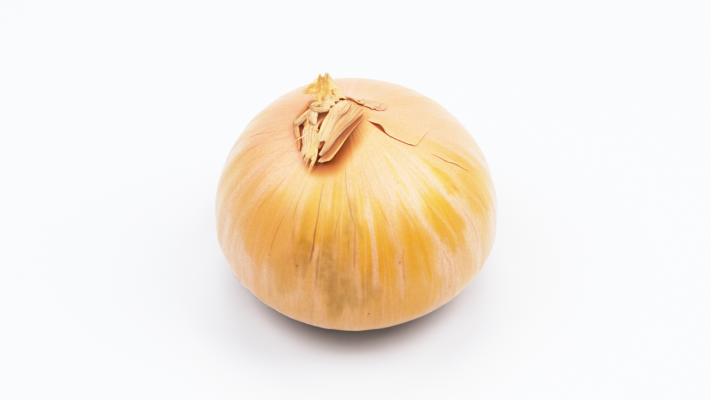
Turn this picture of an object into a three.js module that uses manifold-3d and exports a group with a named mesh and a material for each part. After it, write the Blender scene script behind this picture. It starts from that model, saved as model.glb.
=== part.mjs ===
// A whole yellow onion, cured and dry, resting on its base.
// Millimetres, +Z up, origin on the surface it rests on, under the middle of the bulb.
import * as THREE from 'three';
import { mergeVertices } from 'three/addons/utils/BufferGeometryUtils.js';
import Module from 'manifold-3d';

const wasm = await Module();
wasm.setup();

// Bulb: a round body a little flatter below than above, drawn up to a short neck
const widestRadius = 44;
const widestHeight = 25.5;
const crownRise = 38.3;
const crownPower = 2.15;
const baseDrop = 26.4;
const basePower = 2.03;
const neckRise = 5;
const neckReach = 10;
const neckLean = -3;
const leanPower = 3;
const crownSteps = 20;
const baseSteps = 11;
const bulbColumns = 96;

// Veins of the dry skin stand up as low ribs that run from root to neck
const ribCount = 24;
const ribRelief = 0.2;
const ribWander = 0.5;
const lobes = [
  { count: 3, relief: 0.25, turn: 0.6 },
  { count: 5, relief: 0.18, turn: 2.1 },
];

// The skin has split beside the neck, and the far side of the split has lifted
const split = [
  { x: 2, y: -3.5, half: 0.2 },
  { x: 4.5, y: -4, half: 0.35 },
  { x: 8.5, y: -5, half: 0.7 },
  { x: 13, y: -7, half: 0.35 },
  { x: 17, y: -7.5, half: 0.3 },
  { x: 21.5, y: 0, half: 0.2 },
];
const fineSplit = [
  { x: 22, y: -9, half: 0.2 },
  { x: 27.5, y: -9, half: 0.3 },
  { x: 33.5, y: -8.5, half: 0.2 },
];
const splitDepth = 1.1;
const splitClear = 2;
const flapLift = 0.7;
const flapReach = 4;

// The neck sits in a socket at the top, and the root plate in a hollow underneath
const gap = 0.3;
const socketRadius = 5;
const socketFloor = 64;
const hollowRadius = 8.5;
const hollowDepth = 3;
const roundSides = 40;

// Dried leaf bases: each lies between a near and a far edge, listed from its root to its tip.
// It is bowed outward across its width, and its tip is cut into teeth.
const sheathThickness = 0.7;
const sheaths = {
  upperSheath: {
    near: [[-4, 1, 69], [-4, -2, 73], [-7.5, -8, 73.5], [-9.5, -12, 71], [-11.5, -15, 67]],
    far: [[1, 0.5, 68], [2.5, -3, 69.5], [-1.5, -9, 71.5], [-5, -12.5, 70], [-9, -14.5, 66.5]],
    bow: 1.1, cut: 0.06, rows: 10, columns: 6,
  },
  lipUnderIt: {
    near: [[0, 0, 68], [1.5, -3, 70], [-2.5, -9, 70], [-6, -12.5, 68], [-10, -16.5, 64.5]],
    far: [[1, 0, 67.5], [3, -3, 68.5], [-1, -9.5, 69], [-5, -13, 66.5], [-9.5, -17, 64]],
    bow: 0.3, cut: 0.05, rows: 9, columns: 3,
  },
  openTrough: {
    near: [[0, 0, 67.5], [2, -3, 68.5], [-1.5, -8, 68.5], [-6, -12, 66.5], [-11, -17, 63]],
    far: [[0.5, -1, 66.5], [3.5, -3.5, 67.5], [-1, -10, 68], [-4.5, -14, 66], [-10, -19, 63]],
    bow: -1.3, cut: 0.04, rows: 9, columns: 5,
  },
  fibreFan: {
    near: [[-2, 0, 68.5], [-2.5, 1, 71.5], [-4.5, 2, 76], [-7.5, 4, 78.5]],
    far: [[-6, -1, 68.5], [-8, -2.5, 71.5], [-9.5, 0.5, 74.5], [-11, 6, 77]],
    bow: 0.5, cut: 0.22, rows: 7, columns: 8,
  },
  hangingFibres: {
    near: [[-5, 2, 71], [-7.5, 4, 78], [-11, 5, 74.5], [-16, 6, 69.5]],
    far: [[-7, -1, 70], [-9.5, 2, 75.5], [-11, 3, 73.5], [-13.5, 3, 70]],
    bow: 0.4, cut: 0.2, rows: 7, columns: 6,
  },
  leftBowl: {
    near: [[-4, 1, 67.5], [-7.5, 0, 69.5], [-13.5, 4, 67.5], [-16.5, 2, 65.5], [-18.5, -1, 63.5]],
    far: [[-3, -2, 66.5], [-4.5, -7, 67.5], [-9, -10.5, 65.5], [-12.5, -13, 64], [-15.5, -13, 62.5]],
    bow: -0.6, cut: 0.03, rows: 9, columns: 7,
  },
  rolledRim: {
    near: [[-4, 0, 68.5], [-9, -1, 71.5], [-14, 2.5, 69], [-16.5, 0.5, 67], [-19, -1.5, 64.5]],
    far: [[-4, -1, 67.5], [-8, -2.5, 70.5], [-13.5, 1, 67.5], [-16, 0, 65.5], [-18, -2, 63.5]],
    bow: 0.5, cut: 0.03, rows: 9, columns: 3,
  },
  sideStrip: {
    near: [[-15, 1, 66], [-18.5, -1.5, 64.5], [-18.5, -4.5, 63.5], [-17, -8.5, 63]],
    far: [[-14, -1, 66], [-17, -1, 64.5], [-16.5, -4, 64], [-15.5, -8.5, 63]],
    bow: 0.3, cut: 0.1, rows: 6, columns: 3,
  },
  slantingRibbon: {
    near: [[-8, -2, 68.5], [-12.5, -2.5, 70], [-15.5, -2, 68], [-18, -4, 65]],
    far: [[-8, -4, 68.5], [-11, -4.5, 70], [-14, -4.5, 68], [-16.5, -6, 65]],
    bow: 0.5, cut: 0.08, rows: 6, columns: 4,
  },
  topCrumple: {
    near: [[-4, -2, 70], [-6.5, -4, 74], [-10.5, -3, 73], [-14, -0.5, 70]],
    far: [[-4, -5, 70], [-6.5, -7.5, 73], [-10.5, -6.5, 72.5], [-14, -3.5, 70]],
    bow: 0.8, cut: 0.1, rows: 6, columns: 4,
  },
  paleCup: {
    near: [[-6, -4, 69.5], [-10, -5, 72], [-13, -4.5, 71], [-14, -6, 69.5]],
    far: [[-6, -8, 68.5], [-10, -9, 70], [-11.5, -9, 69.5], [-13, -7, 68.5]],
    bow: -0.7, cut: 0.03, rows: 6, columns: 4,
  },
  paperyBand: {
    near: [[-7, -4, 67], [-11, -7, 67], [-15.5, -5.5, 65.5], [-16, -10, 64], [-16, -14.5, 61.5]],
    far: [[-6, -6, 67], [-9.5, -9.5, 67], [-12.5, -10, 65.5], [-13, -12.5, 64], [-13.5, -16, 62]],
    bow: 0.4, cut: 0.12, rows: 8, columns: 5,
  },
  frayedStrip: {
    near: [[-6, -6, 67], [-10, -10, 66.5], [-12.5, -13, 65], [-14.5, -15.5, 63], [-15, -18, 61]],
    far: [[-5, -7, 66.5], [-9, -12.5, 65.5], [-11, -14.5, 64.5], [-12, -17, 62.5], [-13.5, -18.5, 61.5]],
    bow: 0.3, cut: 0.16, rows: 8, columns: 5,
  },
  rightFlake: {
    near: [[-3, 1.5, 68], [-1, 3, 69.2], [2, 6, 68], [5.5, 6.5, 66.7], [9.5, 5.5, 65.7]],
    far: [[-2, -1, 67.5], [2, -0.5, 69], [3.5, 0.5, 68.3], [6, 0.5, 67.3], [8.5, 2, 66]],
    bow: 0.3, cut: 0.05, rows: 7, columns: 4,
  },
  backSheath: {
    near: [[-5, 1, 68], [-8, 3.5, 71], [-11, 7, 71], [-13.5, 9.5, 68]],
    far: [[-2, 1.5, 68], [-3.5, 5, 70.5], [-6.5, 8.5, 70.5], [-10, 11, 67.5]],
    bow: 0.8, cut: 0.1, rows: 6, columns: 5,
  },
};

// The stalk that the sheaths come from: closed inner leaves, bent over to the front left
const stalk = [
  { at: [-3, 0, socketFloor + gap], radius: 4.7 },
  { at: [-3, 0, 67], radius: 4.7 },
  { at: [-4, -1.5, 69.5], radius: 3.8 },
  { at: [-6.5, -5.5, 70.3], radius: 2.8 },
  { at: [-9, -9, 68.8], radius: 2 },
  { at: [-11, -12, 66.6], radius: 1 },
];
const stalkSides = 10;

// Roots: a woody plate with a tuft of short dry roots under it
const plateRadius = 6.4;
const plateThickness = 1.1;
const rootCount = 34;
const rootSides = 4;
const rootRadius = 0.35;
const rootOuterReach = 7.4;

// Surface of the crown over a point of the plan, with the lean of the neck taken in
function crownHeight(x, y) {
  let z = widestHeight + crownRise;
  for (let pass = 0; pass < 8; pass += 1) {
    const share = Math.max(0, (z - widestHeight) / (crownRise + neckRise));
    const r = Math.min(widestRadius, Math.hypot(x - neckLean * share ** leanPower, y));
    const dome = crownRise * (1 - (r / widestRadius) ** crownPower) ** (1 / crownPower);
    z = widestHeight + dome + neckRise * Math.exp(-((r / neckReach) ** 2));
  }
  return z;
}

// Nearest point of the split, seen in plan: how far, on which side, and how far along
function splitOffset(x, y) {
  const best = { distance: Infinity, side: 1, along: 0 };
  for (let i = 0; i + 1 < split.length; i += 1) {
    const from = split[i];
    const step = { x: split[i + 1].x - from.x, y: split[i + 1].y - from.y };
    const length2 = step.x ** 2 + step.y ** 2;
    const t = THREE.MathUtils.clamp(((x - from.x) * step.x + (y - from.y) * step.y) / length2, 0, 1);
    const off = { x: x - from.x - t * step.x, y: y - from.y - t * step.y };
    const distance = Math.hypot(off.x, off.y);
    if (distance < best.distance) {
      best.distance = distance;
      best.side = Math.sign(step.x * off.y - step.y * off.x);
      best.along = (i + t) / (split.length - 1);
    }
  }
  return best;
}

// How far the skin stands up beside the split
function liftAt(x, y) {
  const { distance, side, along } = splitOffset(x, y);
  if (side < 0) return 0;
  return flapLift * Math.sin(Math.PI * along) * Math.exp(-distance / flapReach);
}

function toManifold(geometry) {
  geometry.deleteAttribute('normal');
  geometry.deleteAttribute('uv');
  const merged = mergeVertices(geometry, 1e-4);
  const vertProperties = new Float32Array(merged.attributes.position.array);
  const triVerts = new Uint32Array(merged.index.array);
  return new wasm.Manifold(new wasm.Mesh({ numProp: 3, vertProperties, triVerts }));
}

function toGeometry(solid) {
  const mesh = solid.getMesh();
  const geometry = new THREE.BufferGeometry();
  geometry.setAttribute('position', new THREE.BufferAttribute(new Float32Array(mesh.vertProperties), 3));
  geometry.setIndex(new THREE.BufferAttribute(new Uint32Array(mesh.triVerts), 1));
  geometry.computeVertexNormals();
  return geometry;
}

// Closed body through rows of points: the rows are rings, and both ends are capped
function ringSolid(rings) {
  const sides = rings[0].length;
  const points = rings.flat();
  const index = [];
  for (let i = 0; i + 1 < rings.length; i += 1) {
    for (let j = 0; j < sides; j += 1) {
      const a = i * sides + j;
      const b = i * sides + ((j + 1) % sides);
      index.push(a, b, b + sides, a, b + sides, a + sides);
    }
  }
  const last = (rings.length - 1) * sides;
  for (let j = 1; j + 1 < sides; j += 1) {
    index.push(0, j + 1, j, last, last + j, last + j + 1);
  }
  const geometry = new THREE.BufferGeometry().setFromPoints(points);
  geometry.setIndex(index);
  return toManifold(geometry);
}

// Upright cylinder from one height to another
function roundSolid(radius, x, y, from, to, sides = roundSides) {
  const geometry = new THREE.CylinderGeometry(radius, radius, to - from, sides);
  geometry.rotateX(Math.PI / 2);
  geometry.translate(x, y, (from + to) / 2);
  return toManifold(geometry);
}

function bulbProfile() {
  const points = [new THREE.Vector2(0, 0)];
  const floorSine = (widestHeight / baseDrop) ** (basePower / 2);
  const floorAngle = Math.asin(floorSine);
  for (let i = 0; i < baseSteps; i += 1) {
    const angle = floorAngle * (1 - i / baseSteps);
    const r = widestRadius * Math.cos(angle) ** (2 / basePower);
    const z = i === 0 ? 0 : widestHeight - baseDrop * Math.sin(angle) ** (2 / basePower);
    points.push(new THREE.Vector2(r, z));
  }
  for (let i = 0; i < crownSteps; i += 1) {
    const angle = (Math.PI / 2) * (i / crownSteps);
    const r = widestRadius * Math.cos(angle) ** (2 / crownPower);
    const dome = crownRise * Math.sin(angle) ** (2 / crownPower);
    points.push(new THREE.Vector2(r, widestHeight + dome + neckRise * Math.exp(-((r / neckReach) ** 2))));
  }
  points.push(new THREE.Vector2(0, widestHeight + crownRise + neckRise));
  return points;
}

// The bulb's skin, grown outward by a margin where room is cut for it in a neighbour
function bulbBody(margin = 0) {
  const geometry = new THREE.LatheGeometry(bulbProfile(), bulbColumns);
  geometry.rotateX(Math.PI / 2);
  const position = geometry.attributes.position;
  for (let i = 0; i < position.count; i += 1) {
    const r = Math.hypot(position.getX(i), position.getY(i));
    const z = position.getZ(i);
    const turn = Math.atan2(position.getY(i), position.getX(i));
    const shoulder = Math.min(1, r / widestRadius) * (z > 0 ? 1 : 0);
    let relief = ribRelief * shoulder * Math.cos(ribCount * turn + ribWander * Math.sin(3 * turn));
    for (const lobe of lobes) {
      relief += lobe.relief * shoulder * Math.cos(lobe.count * turn + lobe.turn);
    }
    const share = Math.max(0, (z - widestHeight) / (crownRise + neckRise));
    const grown = r > 0 ? (r + relief + margin) / r : 1;
    const x = position.getX(i) * grown + neckLean * share ** leanPower;
    const y = position.getY(i) * grown;
    const lift = share > 0 ? liftAt(x, y) + margin : 0;
    position.setXYZ(i, x, y, z + lift);
  }
  return toManifold(geometry);
}

// Wedge that opens a split: wide above the skin, narrow below it
function splitWedge(route) {
  const rings = route.map((stop, i) => {
    const before = route[Math.max(0, i - 1)];
    const after = route[Math.min(route.length - 1, i + 1)];
    const run = Math.hypot(after.x - before.x, after.y - before.y);
    const side = { x: -(after.y - before.y) / run, y: (after.x - before.x) / run };
    const skin = crownHeight(stop.x, stop.y);
    return [
      new THREE.Vector3(stop.x, stop.y, skin - splitDepth),
      new THREE.Vector3(stop.x - side.x * stop.half, stop.y - side.y * stop.half, skin + splitClear),
      new THREE.Vector3(stop.x + side.x * stop.half, stop.y + side.y * stop.half, skin + splitClear),
    ];
  });
  return ringSolid(rings.reverse());
}

function makeBulb() {
  let body = bulbBody();
  body = body.subtract(splitWedge(split));
  body = body.subtract(splitWedge(fineSplit));
  const top = widestHeight + crownRise + neckRise + splitClear;
  body = body.subtract(roundSolid(socketRadius, neckLean, 0, socketFloor, top));
  return body.subtract(roundSolid(hollowRadius, 0, 0, -1, hollowDepth));
}

// Grid of points between the two edges of a sheath, bowed across
function sheathPoint(near, far, bow, s, t) {
  const a = near.getPoint(s);
  const b = far.getPoint(s);
  const along = near.getTangent(s).add(far.getTangent(s));
  const across = b.clone().sub(a);
  const out = along.cross(across).normalize();
  return a.lerp(b, t).addScaledVector(out, bow * 4 * t * (1 - t));
}

// A sheath is a thin closed sheet whose tip is cut into teeth by every second column
function makeSheath({ near, far, bow, cut, rows, columns }) {
  const nearEdge = new THREE.CatmullRomCurve3(near.map((p) => new THREE.Vector3(...p)));
  const farEdge = new THREE.CatmullRomCurve3(far.map((p) => new THREE.Vector3(...p)));
  const upper = [];
  const lower = [];
  for (let i = 0; i <= rows; i += 1) {
    for (let j = 0; j <= columns; j += 1) {
      const s = (i / rows) * (1 - cut * (j % 2));
      const t = j / columns;
      const nudge = 0.02;
      const here = sheathPoint(nearEdge, farEdge, bow, s, t);
      const ahead = sheathPoint(nearEdge, farEdge, bow, Math.min(1, s + nudge), t);
      const behind = sheathPoint(nearEdge, farEdge, bow, Math.max(0, s - nudge), t);
      const right = sheathPoint(nearEdge, farEdge, bow, s, t + nudge);
      const left = sheathPoint(nearEdge, farEdge, bow, s, t - nudge);
      const out = ahead.sub(behind).cross(right.sub(left)).normalize();
      upper.push(here.clone().addScaledVector(out, sheathThickness / 2));
      lower.push(here.clone().addScaledVector(out, -sheathThickness / 2));
    }
  }
  return sheetSolid(upper, lower, rows, columns);
}

// Both faces are split into triangles alike, and the rim joins them
function sheetSolid(upper, lower, rows, columns) {
  const wide = columns + 1;
  const under = upper.length;
  const index = [];
  for (let i = 0; i < rows; i += 1) {
    for (let j = 0; j < columns; j += 1) {
      const a = i * wide + j;
      const b = a + 1;
      const c = a + wide;
      const d = c + 1;
      index.push(a, c, b, b, c, d);
      index.push(under + a, under + b, under + c, under + b, under + d, under + c);
    }
  }
  const rim = [];
  for (let j = 0; j < columns; j += 1) rim.push(j);
  for (let i = 0; i < rows; i += 1) rim.push(i * wide + columns);
  for (let j = columns; j > 0; j -= 1) rim.push(rows * wide + j);
  for (let i = rows; i > 0; i -= 1) rim.push(i * wide);
  rim.forEach((a, k) => {
    const b = rim[(k + 1) % rim.length];
    index.push(a, b, under + b, a, under + b, under + a);
  });
  const geometry = new THREE.BufferGeometry().setFromPoints([...upper, ...lower]);
  geometry.setIndex(index);
  return toManifold(geometry);
}

function makeStalk() {
  const path = new THREE.CatmullRomCurve3(stalk.map(({ at }) => new THREE.Vector3(...at)));
  const steps = 2 * (stalk.length - 1);
  const rings = [];
  for (let i = 0; i <= steps; i += 1) {
    const place = (i / steps) * (stalk.length - 1);
    const stop = Math.min(stalk.length - 2, Math.floor(place));
    const radius = THREE.MathUtils.lerp(stalk[stop].radius, stalk[stop + 1].radius, place - stop);
    const centre = path.getPoint(i / steps);
    const along = i === 0 ? new THREE.Vector3(0, 0, 1) : path.getTangent(i / steps);
    const side = new THREE.Vector3(1, -1, 0).normalize();
    const front = along.clone().cross(side).normalize();
    const ring = [];
    for (let j = 0; j < stalkSides; j += 1) {
      const turn = (2 * Math.PI * j) / stalkSides;
      const point = centre.clone().addScaledVector(side, radius * Math.cos(turn));
      ring.push(point.addScaledVector(front, radius * Math.sin(turn)));
    }
    rings.push(ring);
  }
  return ringSolid(rings);
}

// Only the piece that holds together is kept, without loose scraps
function largestPiece(solid) {
  const pieces = solid.decompose();
  return pieces.reduce((best, piece) => (piece.volume() > best.volume() ? piece : best));
}

function makeNeck() {
  const top = widestHeight + crownRise + neckRise + splitClear;
  const socket = roundSolid(socketRadius - gap, neckLean, 0, socketFloor + gap, top);
  const skin = bulbBody(gap).subtract(socket);
  let neck = makeStalk();
  for (const sheath of Object.values(sheaths)) neck = neck.add(makeSheath(sheath));
  return largestPiece(neck.subtract(skin));
}

function seededRandom(seed) {
  let state = seed;
  return () => {
    state = (state * 1664525 + 1013904223) % 4294967296;
    return state / 4294967296;
  };
}

// One short dry root, from under the plate outward and down
function makeRoot(random, share) {
  const turn = share * rootCount * 2.4 + random() * 0.4;
  const from = plateRadius * 0.85 * Math.sqrt(share);
  const to = Math.min(rootOuterReach, from + 0.6 + 1.6 * random());
  const plateFloor = hollowDepth - gap - plateThickness;
  const stops = [
    new THREE.Vector3(from, 0, plateFloor + 0.4),
    new THREE.Vector3((from + to) / 2, 0.5 * (random() - 0.5), plateFloor - 0.5),
    new THREE.Vector3(to, random() - 0.5, gap + rootRadius + 0.1 + 0.35 * random()),
  ];
  const spread = turn + 0.5 * random();
  const rings = stops.map((stop, i) => {
    const radius = rootRadius * (1 - 0.2 * i);
    const ring = [];
    for (let j = 0; j < rootSides; j += 1) {
      const angle = (2 * Math.PI * (j + 0.5)) / rootSides;
      const point = stop.clone();
      point.x += radius * Math.cos(angle);
      point.y += radius * Math.sin(angle);
      ring.push(point.applyAxisAngle(new THREE.Vector3(0, 0, 1), spread));
    }
    return ring;
  });
  return ringSolid(rings.reverse());
}

function makeRoots() {
  const top = hollowDepth - gap;
  let roots = roundSolid(plateRadius, 0, 0, top - plateThickness, top, 24);
  const random = seededRandom(7);
  for (let i = 0; i < rootCount; i += 1) {
    roots = roots.add(makeRoot(random, (i + 0.5) / rootCount));
  }
  return largestPiece(roots);
}

const skinMaterial = new THREE.MeshStandardMaterial({ color: 0xe2a457, roughness: 0.42, metalness: 0 });
const sheathMaterial = new THREE.MeshStandardMaterial({ color: 0xd9b47c, roughness: 0.7, metalness: 0 });
const rootMaterial = new THREE.MeshStandardMaterial({ color: 0x9b7a55, roughness: 0.85, metalness: 0 });

function addPiece(group, name, solid, material) {
  const mesh = new THREE.Mesh(toGeometry(solid), material);
  mesh.name = name;
  group.add(mesh);
}

const onion = new THREE.Group();
addPiece(onion, 'bulb', makeBulb(), skinMaterial);
addPiece(onion, 'neck', makeNeck(), sheathMaterial);
addPiece(onion, 'roots', makeRoots(), rootMaterial);

export default onion;
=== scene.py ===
import math
import random

import bpy
import numpy as np
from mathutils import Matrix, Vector
from mathutils.bvhtree import BVHTree


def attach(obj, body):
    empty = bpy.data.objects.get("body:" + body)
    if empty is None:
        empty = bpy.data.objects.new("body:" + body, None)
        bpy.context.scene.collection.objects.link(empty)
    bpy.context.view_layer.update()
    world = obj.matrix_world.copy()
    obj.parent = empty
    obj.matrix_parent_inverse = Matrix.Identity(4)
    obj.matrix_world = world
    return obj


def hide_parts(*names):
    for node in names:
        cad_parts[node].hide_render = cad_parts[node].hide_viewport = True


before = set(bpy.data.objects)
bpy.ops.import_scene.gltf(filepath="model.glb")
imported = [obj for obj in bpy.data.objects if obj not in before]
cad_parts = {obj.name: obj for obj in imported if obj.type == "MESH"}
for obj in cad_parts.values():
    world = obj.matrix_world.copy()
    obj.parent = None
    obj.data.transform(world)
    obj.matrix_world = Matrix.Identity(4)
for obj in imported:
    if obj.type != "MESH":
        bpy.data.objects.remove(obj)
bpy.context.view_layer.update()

mm = 0.001
fullTurn = 6.28
wellAbove = 90.0  # higher than the onion, in millimetres


# colour from a hex string as painters give it, in Blender's linear values
def tint(text):
    channels = [int(text[i:i + 2], 16) / 255 for i in (0, 2, 4)]
    return tuple([((c + 0.055) / 1.055) ** 2.4 if c > 0.04 else c / 12.92 for c in channels] + [1.0])


def inMetres(points):
    return [tuple(float(c) * mm for c in p) for p in points]


def addObject(name, data):
    made = bpy.data.objects.new(name, data)
    bpy.context.scene.collection.objects.link(made)
    return made


# a mesh object from points in millimetres, riding on the onion's one body
def makePiece(name, points, faces, material, sharp=60):
    mesh = bpy.data.meshes.new(name)
    mesh.from_pydata(inMetres(points), [], faces)
    mesh.shade_smooth()
    mesh.set_sharp_from_angle(angle=math.radians(sharp))
    mesh.materials.append(material)
    piece = addObject(name, mesh)
    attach(piece, "root")
    return piece


def addValues(piece, name, values, kind="FLOAT", field="value"):
    attribute = piece.data.attributes.new(name, kind, "POINT")
    attribute.data.foreach_set(field, np.asarray(values, np.float32).ravel())


# node helpers: a plain number or colour is set on the socket, a socket is linked to it
def feed(tree, socket, value):
    if isinstance(value, bpy.types.NodeSocket):
        tree.links.new(value, socket)
    elif value is not None:
        socket.default_value = value


def feedAll(tree, sockets, values):
    for name, value in values.items():
        feed(tree, sockets[name], value)


def addMath(tree, operation, a, b=None, c=None):
    made = tree.nodes.new("ShaderNodeMath")
    made.operation = operation
    for socket, value in zip(made.inputs, (a, b, c)):
        feed(tree, socket, value)
    return made.outputs[0]


def times(tree, a, b):
    return addMath(tree, "MULTIPLY", a, b)


def plus(tree, a, b):
    return addMath(tree, "ADD", a, b)


def minus(tree, a, b):
    return addMath(tree, "SUBTRACT", a, b)


def addVector(tree, x, y, z):
    made = tree.nodes.new("ShaderNodeCombineXYZ")
    for socket, value in zip(made.inputs, (x, y, z)):
        feed(tree, socket, value)
    return made.outputs[0]


def splitVector(tree, vector):
    made = tree.nodes.new("ShaderNodeSeparateXYZ")
    feed(tree, made.inputs[0], vector)
    return made.outputs


def addRamp(tree, value, low, high, start=0.0, end=1.0):
    made = tree.nodes.new("ShaderNodeMapRange")
    made.interpolation_type = "SMOOTHSTEP"
    values = {"Value": value, "From Min": low, "From Max": high, "To Min": start, "To Max": end}
    feedAll(tree, made.inputs, values)
    return made.outputs[0]


def addMix(tree, factor, first, second, mode="MIX"):
    made = tree.nodes.new("ShaderNodeMix")
    made.data_type = "RGBA"
    made.blend_type = mode
    made.clamp_factor = True
    feed(tree, made.inputs[0], factor)
    feed(tree, made.inputs[6], first)
    feed(tree, made.inputs[7], second)
    return made.outputs[2]


# colours laid over one another, each as its name and its strength
def addLayers(tree, colour, colours, layers):
    for name, strength in layers:
        colour = addMix(tree, strength, colour, colours[name])
    return colour


def addNoise(tree, vector, scale, detail=2.0, roughness=0.5):
    made = tree.nodes.new("ShaderNodeTexNoise")
    values = {"Vector": vector, "Scale": scale, "Detail": detail, "Roughness": roughness}
    feedAll(tree, made.inputs, values)
    return made.outputs["Fac"]


def newGroup(name, inputs, outputs):
    tree = bpy.data.node_groups.new(name, "ShaderNodeTree")
    for label, kind, value in inputs:
        socket = tree.interface.new_socket(label, in_out="INPUT", socket_type=kind)
        if value is not None:
            socket.default_value = value
    for label, kind in outputs:
        tree.interface.new_socket(label, in_out="OUTPUT", socket_type=kind)
    given = tree.nodes.new("NodeGroupInput").outputs
    return tree, given, tree.nodes.new("NodeGroupOutput").inputs


def useGroup(tree, group, **values):
    made = tree.nodes.new("ShaderNodeGroup")
    made.node_tree = group
    feedAll(tree, made.inputs, values)
    return made.outputs


def addAttribute(tree, name, kind="Fac"):
    made = tree.nodes.new("ShaderNodeAttribute")
    made.attribute_name = name
    return made.outputs[kind]


number = "NodeSocketFloat"
arrow = "NodeSocketVector"


# fibres: long thin streaks along the third axis of the coordinates that come in
def buildFibres():
    tree, given, put = newGroup(
        "Fibres",
        [("Vector", arrow, None), ("Across", number, 20.0), ("Along", number, 2.0)],
        [("Coarse", number), ("Fine", number), ("Lines", number)],
    )
    x, y, z = splitVector(tree, given["Vector"])
    wide = times(tree, x, given["Across"])
    deep = times(tree, y, given["Across"])
    long = times(tree, z, given["Along"])
    stretched = addVector(tree, wide, deep, long)
    coarse = addNoise(tree, stretched, 1.0, 2.0)
    fine = addNoise(tree, stretched, 3.7, 3.0, 0.6)
    ridge = addMath(tree, "ABSOLUTE", minus(tree, addNoise(tree, stretched, 0.55, 1.0), 0.5))
    feed(tree, put["Coarse"], coarse)
    feed(tree, put["Fine"], fine)
    feed(tree, put["Lines"], addRamp(tree, ridge, 0.0, 0.02, 1.0, 0.0))
    return tree


# specks: small soft dots strewn at random, fewer as Rarity nears 1
def buildSpecks():
    tree, given, put = newGroup(
        "Specks",
        [("Vector", arrow, None), ("Scale", number, 300.0), ("Size", number, 0.25), ("Rarity", number, 0.8)],
        [("Mask", number)],
    )
    cells = tree.nodes.new("ShaderNodeTexVoronoi")
    feedAll(tree, cells.inputs, {"Vector": given["Vector"], "Scale": given["Scale"]})
    red = tree.nodes.new("ShaderNodeSeparateColor")
    feed(tree, red.inputs[0], cells.outputs["Color"])
    chosen = addMath(tree, "GREATER_THAN", red.outputs[0], given["Rarity"])
    dot = addRamp(tree, cells.outputs["Distance"], 0.0, given["Size"], 1.0, 0.0)
    feed(tree, put["Mask"], times(tree, chosen, dot))
    return tree


fibreGroup = buildFibres()
speckGroup = buildSpecks()


def newMaterial(name, **values):
    material = bpy.data.materials.new(name)
    material.use_nodes = True
    shader = material.node_tree.nodes["Principled BSDF"]
    for label, value in values.items():
        shader.inputs[label].default_value = value
    return material, material.node_tree, shader


def addBump(tree, shader, height, strength, distance, normal=None):
    bump = tree.nodes.new("ShaderNodeBump")
    feed(tree, bump.inputs["Normal"], normal)
    bump.inputs["Strength"].default_value = strength
    bump.inputs["Distance"].default_value = distance
    feed(tree, bump.inputs["Height"], height)
    tree.links.new(bump.outputs["Normal"], shader.inputs["Normal"])


# bulb: its form in millimetres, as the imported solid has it
bulbForm = {
    "radius": 44.0,
    "widestHeight": 25.5,
    "crownRise": 38.3,
    "crownPower": 2.15,
    "baseDrop": 26.4,
    "basePower": 2.03,
    "neckRise": 5.0,
    "neckReach": 10.0,
    "lean": -3.0,
    "leanPower": 3.0,
    "lobes": [(3, 0.25, 0.6), (5, 0.18, 2.1)],
    "ribs": 24,
    "ribRelief": 0.07,
    "ribWander": 0.5,
    "veins": 46,
    "veinRelief": 0.09,
    "pleats": 46,
    "pleatRelief": 0.12,
    "hollowRadius": 8.5,
    "hollowDepth": 2.8,
    "columns": 320,
}

# tears beside the neck: the lifted edge and the line it hinges on, in plan, with its lift
tears = {
    "split": {
        "edge": [(2.4, -3.2, 0.02), (3.4, -3.4, 0.1), (4.9, -3.8, 0.45), (5.9, -4.1, 0.75),
                 (6.8, -4.2, 1.0), (7.6, -4.5, 1.1), (8.2, -5.2, 1.0), (8.8, -6.3, 0.5),
                 (10.3, -6.9, 0.32), (12.8, -7.6, 0.26), (14.8, -7.9, 0.26), (17.6, -8.2, 0.34),
                 (19.7, -4.0, 0.22), (21.8, 0.3, 0.16), (22.9, 3.4, 0.0)],
        "hinge": [(2.4, -3.2), (6.0, -1.0), (10.0, 0.6), (15.0, 2.0), (19.0, 3.0), (22.9, 3.4)],
        "front": [(3.2, -3.5), (5.9, -4.9), (7.1, -5.5), (8.6, -6.2), (10.3, -7.0)],
        "width": 1.4,
    },
    "fineSplit": {
        "edge": [(21.7, -8.9, 0.0), (24.5, -9.1, 0.16), (27.2, -9.5, 0.26), (29.5, -8.8, 0.26),
                 (32.0, -8.5, 0.16), (34.2, -8.1, 0.0)],
        "hinge": [(21.7, -8.9), (24.5, -7.0), (28.0, -6.4), (31.5, -6.8), (34.2, -8.1)],
        "front": [],
        "width": 0.0,
    },
}

# the flaps' mesh cells and thickness, and the depth of the opening before the split
tearMake = {
    "rows": 150,
    "columns": 24,
    "thickness": 0.09,
    "openingDepth": 0.3,
}


def crownHeight(x, y):
    f = bulbForm
    z = np.full(np.shape(x), f["widestHeight"] + f["crownRise"])
    for _ in range(10):
        share = np.clip((z - f["widestHeight"]) / (f["crownRise"] + f["neckRise"]), 0, 1)
        r = np.minimum(f["radius"], np.hypot(x - f["lean"] * share ** f["leanPower"], y))
        dome = f["crownRise"] * (1 - (r / f["radius"]) ** f["crownPower"]) ** (1 / f["crownPower"])
        z = f["widestHeight"] + dome + f["neckRise"] * np.exp(-((r / f["neckReach"]) ** 2))
    return z


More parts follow.
